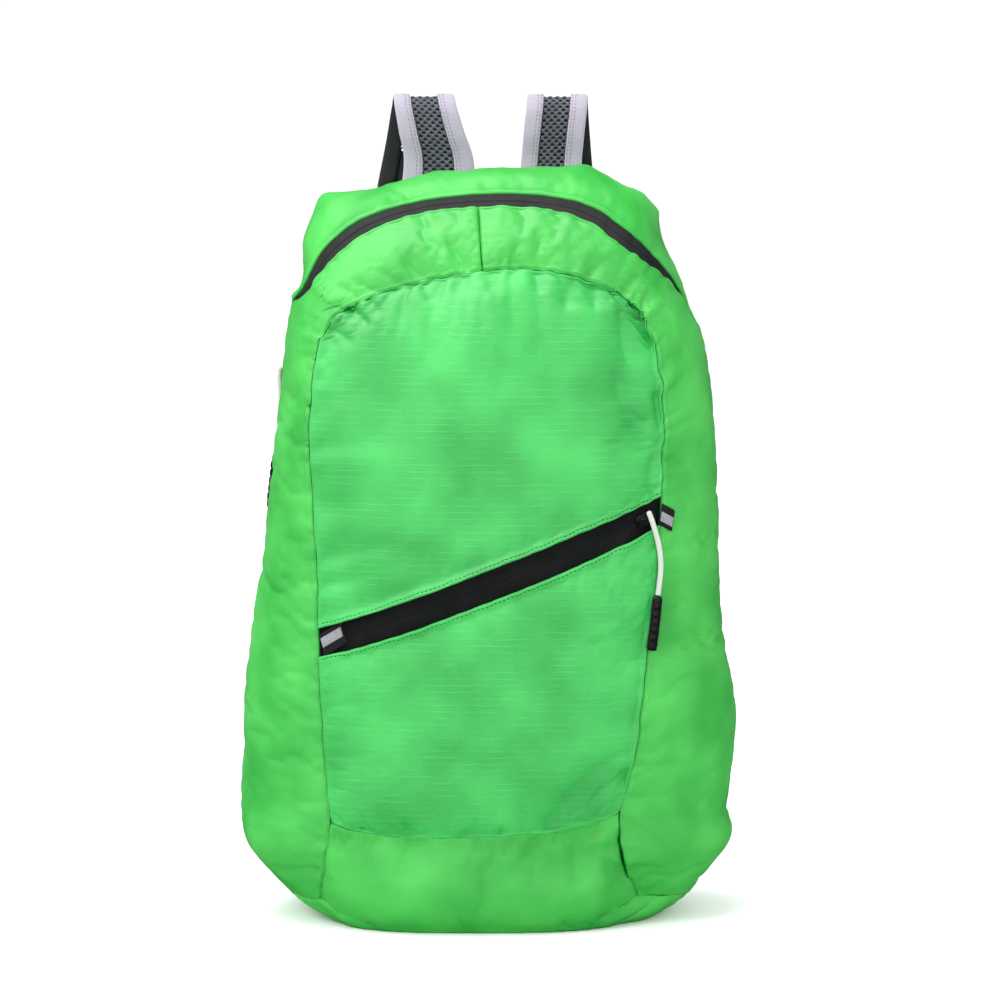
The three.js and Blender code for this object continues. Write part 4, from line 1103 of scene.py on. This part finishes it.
# Folds of the front, the strip under it and their corners: x, z, turn, half length, width, height
FRONT_CREASES = [
    [76.1, 348.5, 94.7, 16, 9, -3.2],
    [73.8, 317, 102, 12, 5.5, -1.8],
    [83.5, 302, -32, 9, 2.6, -1.7],
    [84.8, 293, -43, 9, 4, -1.9],
    [93.4, 345, 110, 11, 4, -1.9],
    [95.6, 307, 97, 12, 3.6, -1.9],
    [91.6, 269, 88, 12, 4, -1.7],
    [44.8, 371, 84, 8, 5, -1.6],
    [60.7, 371, 88, 9, 5, -1.8],
    [52.5, 378, 92, 6, 3, -0.8],
    [1.5, 379, 82, 8, 3, -1.2],
    [27, 379, 95, 8, 4, -1.1],
    [-18, 377, 85, 7, 3, -1],
    [-35, 372, 100, 7, 3.5, -1.2],
    [-74.3, 360, -39, 9, 3.2, -1.8],
    [-66, 366, -52, 8, 3, -1.2],
    [-84, 348, -28, 9, 3.5, -1.2],
    [53, 89.3, 45.5, 29, 9, -3.2],
    [68.5, 88.8, 41, 15, 2.4, -1.1],
    [84, 97, 38, 10, 3, -1.1],
    [-72, 66, 80, 9, 4, -1.1],
    [-47, 61, 95, 8, 4, -1.2],
    [-12, 60, 100, 7, 3, -1.1],
    [6, 61, 70, 7, 3, -1.2],
    [33, 67, 100, 6, 2.5, -1],
    [-20, 235, 70, 34, 12, -1.3],
    [-45, 320, 60, 32, 14, -1.5],
    [20, 150, 110, 30, 12, -1.2],
    [-70, 190, 95, 26, 10, -1.1],
    [-78, 120, 78, 22, 9, -1.2],
]
STRIP_CREASES = [
    [26.6, 45, 92, 14, 8, -2.6],
    [51, 49, 88, 17, 9, -3],
    [70, 46, 84, 12, 6, -1.7],
    [3, 44, 90, 12, 6, -1.1],
    [-20, 45, 88, 12, 7, -1.2],
    [-46.7, 47, 92, 13, 7, -1.7],
    [-68, 46, 96, 12, 6, -1.4],
    [-6, 54, 115, 6, 2.6, -1.2],
    [12, 54, 60, 6, 2.6, -1.1],
    [39, 60, 100, 7, 3, -1.4],
    [62, 64, 84, 7, 3, -1.3],
    [75, 38, -42, 8, 3, -1.6],
]

# Front panel, below and above the pocket zip
for part_name, low, high, seed in (("lower", 0, ZIP_SHARES[0], 41), ("upper", ZIP_SHARES[1], 1, 51)):
    share_s, share_t = crowded(170, 0.7), crowded(170 if part_name == "upper" else 110, 0.72)
    p = relaxed(lambda a, b: front(a[:, None], (low + (high - low) * b)[None, :]), share_s, share_t, seed)
    across, up = run_lengths(p)
    right, top = across[-1:] - across, up[:, -1:] - up
    to_seam = up if part_name == "lower" else top
    to_zip = top if part_name == "lower" else up
    width, height = across.max(), up.max()
    h = puckers(up, across, height, seed, 9, 2.8, 9, 0.7)
    h += puckers(up, right, height, seed + 1, 9, 2.8, 12, 1.0)
    h += puckers(across, to_seam, width, seed + 2, 8.5, 3.0, 10, 0.9)
    h += puckers(across, to_zip, width, seed + 3, 8, 2.6, 12, 0.4, 4.0)
    inner = smooth_step(across / 10) * smooth_step(right / 10) * smooth_step(to_seam / 12)
    inner = inner * smooth_step(to_zip / 14)
    h += 1.2 * crumple(p[..., 0], p[..., 2], seed + 4, 44, 1.3) * inner
    edge_fade = smooth_step(np.minimum(np.minimum(across, right), to_seam) / 2) * smooth_step(to_zip / 5)
    h += creases(p[..., 0], p[..., 2], FRONT_CREASES) * edge_fade
    h += valley(across) + valley(right) + valley(to_seam) + hem(to_zip)
    uv = np.stack([p[..., 0], p[..., 2]], -1)
    _, laid = cloth(f"front_cloth_{part_name}", f"front_panel_{part_name}", p, h, uv, PANEL_GREEN)
    rising = 1 if part_name == "upper" else -1
    line, over = (line_at(field[3:-3], rising * to_zip[3:-3], rising * STITCH_LINE)
                  for field in (laid, outward(laid)))
    stitches(f"pocket_stitches_{part_name}", [(line, over)], *POCKET_STITCH, THREAD_AND_SEAM_SHADE_GREEN, "cloth")

# Base, with the strip under the pocket
share_s, share_k = crowded(170, 0.7), crowded(150, 0.6)
p = relaxed(lambda a, b: base_point(a[:, None], (BASE_STEPS * b)[None, :]), share_s, share_k, 61, cap=2.5)
across, back = run_lengths(p)
right = across[-1:] - across
h = puckers(across, back, across.max(), 61, 8.5, 3.0, 11, 1.0)
h += puckers(back, across, 60, 62, 9, 3.2, 15, 0.9) + puckers(back, right, 60, 63, 9, 3.2, 15, 0.9)
inner = smooth_step(back / 10) * smooth_step(across / 10) * smooth_step(right / 10)
h += 1.2 * crumple(across, back, 65, 26, 1.3) * inner
h += creases(p[..., 0], p[..., 2], STRIP_CREASES) * smooth_step(back / 2) * (p[..., 1] < -20)
lying = smooth_step((p[..., 2] - 1) / 8)
h = h * lying + valley(back) + valley(across) + valley(right)
uv = np.stack([p[..., 0], back], -1)
cloth("base_cloth", "base_panel", p, h, uv)

# Back panel
share_s, share_t = crowded(130, 0.7), crowded(190, 0.7)
p = relaxed(lambda a, b: back_point(a[:, None], b[None, :]), share_s, share_t, 75, cap=2.5)
across, up = run_lengths(p)
right, top = across[-1:] - across, up[:, -1:] - up
h = sum(
    puckers(along, off, along.max(), seed, 9, 3, 14, 0.8)
    for along, off, seed in ((up, across, 71), (up, right, 72), (across, up, 73), (across, top, 74))
)
inner = smooth_step(across / 10) * smooth_step(right / 10) * smooth_step(top / 12) * smooth_step(up / 12)
h += 1.6 * crumple(p[..., 0], p[..., 2], 75, 42, 1.5) * inner
h += valley(across) + valley(right) + valley(up) + valley(top)
uv = np.stack([-p[..., 0], p[..., 2]], -1)
cloth("back_cloth", "back_panel", p, h, uv)


THREAD_OUT = 0.3
THREAD_AHEAD = 0.45


def thread(name, surface, places, stitch=SEAM_STITCH):
    """A dark line of close stitches that fills the groove of a seam, just proud of its bottom: partly the
    sewn thread, partly painted shade of the groove.
    """
    line = surface(places)
    out = unit(line - BAG_MIDDLE)
    proud = out * THREAD_OUT - ALONG_BAG * THREAD_AHEAD
    stitches(name, [(line + proud, out)], *stitch, THREAD_AND_SEAM_SHADE_GREEN, "cloth")


# Painted shade: these dark stitch lines along the seams stand for the shade in the seams' grooves as well as
# for their thread.
thread("arch_seam_thread", seam, spread_rows(0, FOOT_RIGHT, 0.7))
thread("strip_seam_thread", lambda a: front(a, 0 * a), np.linspace(0, 1, 300))
thread("centre_seam_thread", lambda a: side(CENTRE_SEAM + 0 * a, a), np.linspace(0.02, 0.2, 80),
       CENTRE_STITCH)


# Zip tapes: two halves that meet in a fine line
def tape(name, node, p, to_middle, material, depth):
    """A half of a zip's tape, recessed under the hems, with a fine line where the halves meet."""
    meeting = -depth * np.exp(-((to_middle / 0.35) ** 2))
    h = -0.85 + 0.35 * np.cos(np.clip(to_middle / (ZIP_WIDTH / 2), 0, 1) * math.pi / 2) + meeting
    a, b = run_lengths(p)
    cloth(name, node, p, h, np.stack([a, b], -1), material)


for part_name, ends in (("lower", (0, 0.5)), ("upper", (0.5, 1))):
    lead = 0.06 if part_name == "lower" else 0.0
    trail = 0.06 if part_name == "upper" else 0.0
    share = np.linspace(ends[0] - lead, ends[1] + trail, 16)
    s, w = np.meshgrid(np.linspace(0, 1, 260), share, indexing="ij")
    t = ZIP_SHARES[0] + (ZIP_SHARES[1] - ZIP_SHARES[0]) * w
    p = front(s, t)
    to_middle = abs(w - 0.5) * ZIP_WIDTH
    tape(f"pocket_tape_{part_name}", f"pocket_zip_tape_{part_name}", p, to_middle, TAPE_BLACK, 0.12)
for part_name, edges in (("front", (-1.12, 0)), ("rear", (0, 1.12))):
    rows = spread_rows(ZIP_END_LEFT, ZIP_END_RIGHT, 1.8)
    u, e = np.meshgrid(rows, np.linspace(*edges, 16), indexing="ij")
    low, middle, high = (zip_share(u, k) for k in (-1, 0, 1))
    v = np.where(e < 0, middle + (middle - low) * e, middle + (high - middle) * e)
    to_middle = abs(e) * ZIP_WIDTH / 2
    tape(f"main_tape_{part_name}", f"main_zip_tape_{part_name}", side(u, v), to_middle, TAPE_BLACK_PAINTED_TOP_LIGHT, 0.3)


# Sliders and tabs
def frame_on(surface, a, b):
    """A place on the bag: point, outward direction and the direction across."""
    point = surface(a, b)
    across = unit(surface(a + STEP, b) - surface(a - STEP, b))
    up = unit(surface(a, b + STEP) - surface(a, b - STEP))
    out = unit(np.cross(across, up))
    return point, out if np.dot(out, point - BAG_MIDDLE) > 0 else -out, across


def rounded(wide, tall, corner, steps=4):
    """A closed rounded rectangle, sitting on zero, as (x, y) pairs."""
    result = []
    for cx, cy, start in ((1, 1, 0), (-1, 1, 90), (-1, -1, 180), (1, -1, 270)):
        for k in range(steps + 1):
            angle = math.radians(start + 90 * k / steps)
            result.append([cx * (wide / 2 - corner) + corner * math.cos(angle),
                           cy * (tall / 2 - corner) + tall / 2 + corner * math.sin(angle)])
    return np.array(result)


def strip(line, beside, up, profile, grow=None):
    """Rings of a profile along a line with the same directions all along."""
    grow = np.ones(len(line)) if grow is None else np.asarray(grow)
    return (line[:, None] + profile[None, :, :1] * grow[:, None, None] * beside
            + profile[None, :, 1:] * up)


def joined(name, shapes, material, uv=None):
    """One object from several (vertices, faces) shapes."""
    vertices, faces, start = [], [], 0
    for more, more_faces in shapes:
        vertices.append(more)
        faces += [[k + start for k in face] for face in more_faces]
        start += len(more)
    return new_object(name, np.vstack(vertices), faces, material, uv)


def slider(name, node, seat):
    """A zip slider: a waisted body and the bridge that holds its cord."""
    point, out, across = seat
    beside = np.cross(out, across)
    x = np.array([-6, -5.8, -5.2, -4, -2, 0, 2, 3.6, 5, 5.8, 6])
    wide = np.array([0.35, 0.6, 0.74, 0.8, 0.78, 0.8, 0.92, 1, 0.9, 0.62, 0.35])
    body = strip(point + out * 0.25 + x[:, None] * across, beside, out, rounded(8, 1.9, 0.7), wide)
    angle = np.linspace(0, math.pi, 15)
    arch = point + out * (1.7 + 1.5 * np.sin(angle)[:, None] ** 0.7) - np.cos(angle)[:, None] * 3.6 * across
    bridge = tube(arch, beside, rounded(2.6, 0.9, 0.35) - [0, 0.45])
    piece = joined(name, [capped(body), capped(bridge)], SLIDER_BLACK)
    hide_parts(node)


def turned(v, axis, angle):
    return v * math.cos(angle) + np.cross(axis, v) * math.sin(angle) + axis * np.dot(axis, v) * (
        1 - math.cos(angle))


def tab(name, seat, length, lift, turn, shift, droop, skew, raised, low):
    """A folded ribbon tab with a reflective stripe woven along it. skew leans its ends, raised
    moves it across its length and low moves its stripe down from its middle, in mm."""
    point, out, across = seat
    along = turned(across, out, math.radians(turn))
    beside = unit(np.cross(out, along) + skew * along)
    point = point + raised * beside
    x = np.linspace(0, 1, 24)
    rise = 0.35 * np.sin(x * math.pi) - droop * x**2
    line = (point + out * lift + along * (shift - length / 2) + x[:, None] * length * along
            + rise[:, None] * out)
    end = np.interp(x, [0, 0.9, 1], [1, 1, 0.96])
    ribbon = strip(line, beside, out, rounded(12.4, 1.1, 0.45), end)
    vertices, faces = capped(ribbon)
    piece = new_object(name, vertices, faces, RIBBON_BLACK, ring_uv(ribbon))
    inner = line[1:-1] + out * 1.0 - beside * low
    stripe = strip(inner, beside, out, rounded(5.5, 0.45, 0.2))
    vertices, faces = capped(stripe)
    band = new_object(f"{name}_band", vertices, faces, STRIPE_GREY, ring_uv(stripe))
    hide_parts(name)
    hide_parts(f"{name}_stripe")


POCKET_MIDDLE = (ZIP_ROW + 0.5) / UP_STEPS
slider("pocket_slider", "pocket_zip_slider", frame_on(front, 0.955, POCKET_MIDDLE))
slider("main_slider", "main_zip_slider", frame_on(lambda a, b: side(a, zip_share(a, b)), 6.75, 0))
tab("left_tab", frame_on(front, 0.05, POCKET_MIDDLE), length=15.5, lift=0.3, turn=15, shift=-2.3,
    droop=0.2, skew=0.25, raised=0.8, low=-1.2)
tab("right_tab", frame_on(side, (ZIP_RIGHT[0] + ZIP_RIGHT[1]) / 2, 0.03), length=9, lift=0.9, turn=65,
    shift=2.8, droop=0.5, skew=-0.34, raised=-2.8, low=1)


# Shoulder straps
STRAP_ROUTE = [
    [-0.19, 0.258, 0.35, 1, 0.1],
    [-0.225, 0.268, 0.3, 1, 0.48],
    [-0.256, 0.28, 0.35, 1, 0.84],
    [-0.268, 0.284, 0.56, 1, 0.985],
    [-0.278, 0.287, 0.78, 1, 0.84],
    [-0.3, 0.297, 0.92, 1, 0.4],
    [-0.34, 0.318, 1, 0.965, 0],
    [-0.42, 0.39, 1.02, 0.84, 0],
    [-0.51, 0.48, 0.95, 0.65, 0],
    [-0.575, 0.545, 0.82, 0.48, 0],
    [-0.6, 0.575, 0.7, 0.38, 0],
]
SEAT_ACROSS = [-0.18, 0.25]
SEAT_UP = [0.92, 0.98]
SEAT_CLEAR = 0.8
WEB_SEAT_ACROSS = [-0.6, 0.6]
WEB_SEAT_UP = 0.06
WEB_LEAVE = [0, 1.5, 16]
STRAP_STEPS = 33
STRAP_THICK = STRAP_MESH + 2 * (GAP + BINDING)


def on_back(x, t):
    low, high = 0.0, 1.0
    for _ in range(30):
        middle = (low + high) / 2
        if back_point(middle, t)[0] < x:
            low = middle
        else:
            high = middle
    return back_point(low, t)


def strap_route(hand):
    clear = [0, STRAP_THICK / 2 + SEAT_CLEAR, 0]
    seats = [on_back(SEAT_ACROSS[hand] * HALF_WIDTH, t) + clear for t in SEAT_UP]
    rest = [[row[hand] * HALF_WIDTH, BACK_REACH - BACK_LEAN * row[3] + row[2] * STAND_OFF,
             row[3] * HEIGHT + row[4] * LOOP_RISE] for row in STRAP_ROUTE]
    return np.array(seats + rest)


class Band:
    """A flat strap along a line: places across it, along it and above it become points."""

    def __init__(self, route, count=400, flare=0.0):
        self.line = smooth_curve(route, np.linspace(0, 1, count))
        self.flare = flare
        along = unit(np.gradient(self.line, axis=0))
        self.thick = unit(np.cross(ACROSS_BAG, along))
        self.run = np.concatenate([[0], np.cumsum(np.linalg.norm(np.diff(self.line, axis=0), axis=1))])
        self.length = self.run[-1]
        self.top = self.run[np.argmax(self.line[:, 2])]

    def at(self, x, run, lift):
        x, run, lift = np.broadcast_arrays(x, run, lift)
        x = x - self.flare * smooth_step(1.1 - run / self.top) * (1 - x / STRAP_WIDTH * 2)
        centre = np.stack([np.interp(run, self.run, self.line[:, c]) for c in range(3)], -1)
        thick = np.stack([np.interp(run, self.run, self.thick[:, c]) for c in range(3)], -1)
        return centre + x[..., None] * ACROSS_BAG + lift[..., None] * thick

    def sweep(self, profile, run):
        return self.at(profile[None, :, 0], run[:, None], profile[None, :, 1])


NET_PITCH = 4.3
NET_ROW = 2.06

# Heights on the left strap's outer part between which its net has no lining
BARE_NET = [463, 448]


def net(name, band, half, lined):
    """A net with a hole in each of its diamond cells, thickest where its strands meet, and the
    dark lining behind it. lined gives the runs of the strap that have the lining."""
    step = np.arange(12) % 3 / 3
    corner = np.arange(12) // 3
    corners = np.array([[0.5, 0], [0, 1], [-0.5, 0], [0, -1], [0.5, 0]]) * [NET_PITCH, NET_ROW]
    outer = mix(corners[corner], corners[corner + 1], step)
    angle = np.arctan2(outer[:, 1] / 0.82, outer[:, 0] / 1.15)
    size = (abs(np.cos(angle)) ** 2.6 + abs(np.sin(angle)) ** 2.6) ** (-1 / 2.6)
    inner = np.stack([1.15 * np.cos(angle) * size, 0.82 * np.sin(angle) * size], -1)
    knot = 0.34 + 0.28 * (step == 0)
    rings = [(outer, knot), ((outer + inner) / 2, knot * 0.95), (inner, knot * 0.3), (inner, -knot * 0.3),
             ((outer + inner) / 2, -knot * 0.95), (outer, -knot)]
    cell = np.array([np.column_stack([flat, up]) for flat, up in rings])
    rows = int(band.length / NET_ROW)
    centres = [(c * NET_PITCH + (r % 2) * NET_PITCH / 2, r * NET_ROW)
               for r in range(1, rows) for c in range(-4, 5)
               if abs(c * NET_PITCH + (r % 2) * NET_PITCH / 2) < half + 1]
    flat = cell[None] + np.array([[x, y, 0] for x, y in centres])[:, None, None]
    flat[..., 0] = np.clip(flat[..., 0], -half - 0.8, half + 0.8)
    first_points = np.arange(len(centres))[:, None, None] * 72
    faces = (grid_faces(6, 12, closed=True)[None] + first_points).reshape(-1, 4)
    flat = flat.reshape(-1, 3)
    same = np.round(flat * 50).astype(int)
    _, first, back = np.unique(same, axis=0, return_index=True, return_inverse=True)
    flat, faces = flat[first], back.ravel()[faces]
    vertices = band.at(flat[:, 0], flat[:, 1], flat[:, 2])
    # Faces on the net's underside take slot 1, the darker copy of the net: painted shade.
    under = (flat[faces][..., 2].mean(1) < -0.05).astype(int).tolist()
    faces = faces.tolist()
    for first, last in lined:
        run = np.linspace(first, last, 120)
        section = np.array([[-half, -0.5], [half, -0.5], [half, -0.3], [-half, -0.3]])
        sheet, more = capped(band.sweep(section, run))
        faces += [[k + len(vertices) for k in face] for face in more]
        vertices = np.vstack([vertices, sheet])
        flat = np.vstack([flat, np.zeros((len(sheet), 3))])
        under += [2] * len(more)
    piece = new_object(name, vertices, faces, NET_GREY, flat[:, :2])
    # Slot 1 is the painted shade of the net's underside.
    piece.data.materials.append(NET_UNDERSIDE_PAINTED_SHADE)
    piece.data.materials.append(LINING_DARK)
    piece.data.polygons.foreach_set("material_index", under)
    return piece


def binding(name, node, band, edge):
    """A grey tape folded round one edge of the strap, with a dark lining on the body's side."""
    outer, slot = 1.85, 1.0
    far, near = STRAP_WIDTH / 2, STRAP_WIDTH / 2 - BINDING_WIDTH
    top = [[near, slot], [near + 0.05, outer - 0.25], [near + 0.35, outer], [near + 2.4, outer + 0.1],
           [near + 5, outer + 0.18], [far - 2, outer + 0.1], [far - 0.7, outer - 0.2],
           [far - 0.15, outer - 0.8], [far, 0]]
    low = [[x, -y] for x, y in top[-2::-1]]
    fold = [[far - 1.2, -slot], [far - 1.2, slot]]
    profile = np.array(top + low + fold) * [edge, 1]
    run = np.linspace(0, band.length, 300)
    rings = band.sweep(profile, run)
    wander = 0.35 * noise(run, run * 0, 24, 24, 91 + edge)[:, None] * (abs(profile[:, 0]) > far - 1.5)
    rings += wander[..., None] * ACROSS_BAG
    vertices, faces = capped(rings)
    across = np.concatenate([[0], np.cumsum(np.linalg.norm(np.diff(profile, axis=0), axis=1))])
    uv = np.stack(np.broadcast_arrays(across[None, :], run[:, None]), -1).reshape(-1, 2)
    piece = new_object(name, vertices, faces, BINDING_GREY, np.vstack([uv, [0, 0], [0, band.length]]))
    piece.data.materials.append(LINING_DARK)
    m = len(profile)
    side_index = [int(len(top) <= k % m) for k in range((len(run) - 1) * m)]
    piece.data.polygons.foreach_set("material_index", side_index + [0] * (len(faces) - len(side_index)))
    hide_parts(node)
    rows = []
    for off in (1.2, 3.1):
        x = np.full(len(run), edge * (near + off))
        lift = np.interp(near + off, [q[0] for q in top[:6]], [q[1] for q in top[:6]])
        line = band.at(x, run, np.full(len(run), lift))
        rows.append((line, unit(band.at(x, run, np.full(len(run), lift + 1)) - line)))
    return rows


def buckle(name, node, before, end, wide_way, thick_way, off):
    """A plain moulded frame with rounded edges round the strap's end and the webbing."""
    wide = STRAP_WIDTH + 1.2
    thick = STRAP_THICK + GAP + WEBBING + 1.2
    centre = (off + WEBBING / 2 - STRAP_THICK / 2) / 2
    line = unit(end - before)
    rings = []
    ring_places = ((0, 0.5), (0.5, 0), (1.9, 0), (2.4, 0.5), (2.4, 9.5), (1.9, 10), (0.5, 10), (0, 9.5))
    for grow, place in ring_places:
        shape = rounded(wide + 2 * grow, thick + 2 * grow, 1 + grow * 0.9) - [0, thick / 2 + grow - centre]
        rings.append(end + line * (place - 10) + shape[:, :1] * wide_way + shape[:, 1:] * thick_way)
    rings = np.array(rings + rings[:1])
    n, m = rings.shape[:2]
    piece = new_object(name, rings.reshape(-1, 3), grid_faces(n, m, closed=True).tolist(), BUCKLE_BLACK)
    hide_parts(node)


for hand, side_name in enumerate(("left", "right")):
    band = Band(strap_route(hand), flare=4.6 if hand == 0 else 0)
    falling = band.run > band.top
    bare = [np.interp(-z, -band.line[falling, 2], band.run[falling]) for z in BARE_NET]
    lined = [(0, bare[0]), (bare[1], band.length)] if hand == 0 else [(0, band.length)]
    netting = net(f"strap_net_{side_name}", band, STRAP_WIDTH / 2 - BINDING_WIDTH + 0.8, lined)
    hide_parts(f"strap_mesh_{side_name}")
    rows = []
    for edge, place in ((-1, "outer" if hand == 0 else "inner"), (1, "inner" if hand == 0 else "outer")):
        rows += binding(f"strap_tape_{side_name}_{place}", f"strap_binding_{side_name}_{place}", band, edge)
    stitches(f"strap_stitches_{side_name}", rows, *STRAP_STITCH, THREAD_GREY, "binding")

    # Webbing lies against the strap's end, held in the buckle, and runs down to the bag
    solid_line = smooth_curve(strap_route(hand), np.arange(STRAP_STEPS + 1) / STRAP_STEPS)
    near_end = smooth_curve(strap_route(hand), [1 - 1e-4, 1, 1 - 3e-4])
    held, before, end = solid_line[-3], solid_line[-2], solid_line[-1]
    held_way = unit(np.cross(ACROSS_BAG, solid_line[-2] - solid_line[-4]))
    end_way = unit(np.cross(ACROSS_BAG, near_end[1] - near_end[0]))
    off = (WEBBING + STRAP_THICK) / 2 + GAP
    lower = on_back(WEB_SEAT_ACROSS[hand] * HALF_WIDTH, WEB_SEAT_UP) + [0, WEBBING / 2 + SEAT_CLEAR, 0]
    web = Band([held + held_way * off, end + end_way * off, lower + WEB_LEAVE, lower], 160)
    run = np.linspace(0, web.length, 120)
    rings = web.sweep(rounded(WEBBING_WIDTH, WEBBING, 0.6) - [0, WEBBING / 2], run)
    vertices, faces = capped(rings)
    webbing = new_object(f"webbing_{side_name}_strap", vertices, faces, RIBBON_BLACK, ring_uv(rings))
    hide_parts(f"webbing_{side_name}")
    buckle(f"buckle_{side_name}_frame", f"buckle_{side_name}", before, end, ACROSS_BAG, end_way, off)


# Floor, light and background
floor_mesh = bpy.data.meshes.new("floor")
FLOOR = 1500
floor_mesh.from_pydata([(-FLOOR, -FLOOR, 0), (FLOOR, -FLOOR, 0), (FLOOR, FLOOR, 0), (-FLOOR, FLOOR, 0)], [],
                       [(0, 1, 2, 3)])
floor = bpy.data.objects.new("floor", floor_mesh)
bpy.context.collection.objects.link(floor)
floor.visible_glossy = False
floor_paint = Nodes("pale_floor")
floor_paint.finish(Base_Color=(0.93, 0.93, 0.93, 1), Roughness=0.6, Specular_IOR_Level=0.2)
floor_mesh.materials.append(floor_paint.material)


WALL_LIGHT = 2.75
CEILING_LIGHT = 0.6


def softbox(name, place, aim, size, power):
    """A rectangular lamp, in metres and watts, that faces its aim."""
    data = bpy.data.lights.new(name, "AREA")
    data.shape = "RECTANGLE"
    data.size, data.size_y = size
    data.energy = power
    light = bpy.data.objects.new(name, data)
    light.location = place
    way = np.array(aim, float) - np.array(place, float)
    yaw = math.atan2(way[1], way[0])
    tilt = math.atan2(math.hypot(way[0], way[1]), -way[2])
    light.rotation_euler = (tilt, 0, yaw - math.pi / 2)
    bpy.context.collection.objects.link(light)


# Lamps: name, place, aim and size in metres, power in watts
for lamp in (
    ("overhead", (-0.4, -0.25, 1.9), (0, 0, 0.35), (1.5, 1.0), 32),
    ("key", (-1.3, -1.3, 1.7), (0, 0, 0.25), (0.6, 0.6), 15),
    ("front_right", (1.6, -1.8, 1.3), (0, 0, 0.2), (1.2, 1.4), 3),
    ("low_front", (0, -2.5, 0.6), (0, 0, 0.2), (1.8, 0.9), 6),
    ("left", (-2.2, -0.2, 0.9), (0, 0, 0.2), (1.2, 1.2), 4.5),
    ("right", (2.2, -0.2, 0.9), (0, 0, 0.2), (1.2, 1.2), 1.5),
):
    softbox(*lamp)

# The studio's walls give an even light from all sides, stronger near the horizon, and no reflections
world = bpy.data.worlds.new("studio")
world.use_nodes = True
world.cycles_visibility.glossy = False
sky = world.node_tree
direction = sky.nodes.new("ShaderNodeTexCoord")
parts = sky.nodes.new("ShaderNodeSeparateXYZ")
sky.links.new(direction.outputs["Generated"], parts.inputs[0])
strength = sky.nodes.new("ShaderNodeMapRange")
sky.links.new(parts.outputs["Z"], strength.inputs["Value"])
for name, value in zip(("From Min", "From Max", "To Min", "To Max"), (0.0, 1.0, WALL_LIGHT, CEILING_LIGHT)):
    strength.inputs[name].default_value = value
sky.links.new(strength.outputs[0], sky.nodes["Background"].inputs["Strength"])
sky.nodes["Background"].inputs["Color"].default_value = (1, 1, 1, 1)
bpy.context.scene.world = world
bpy.context.scene.view_settings.view_transform = "Standard"
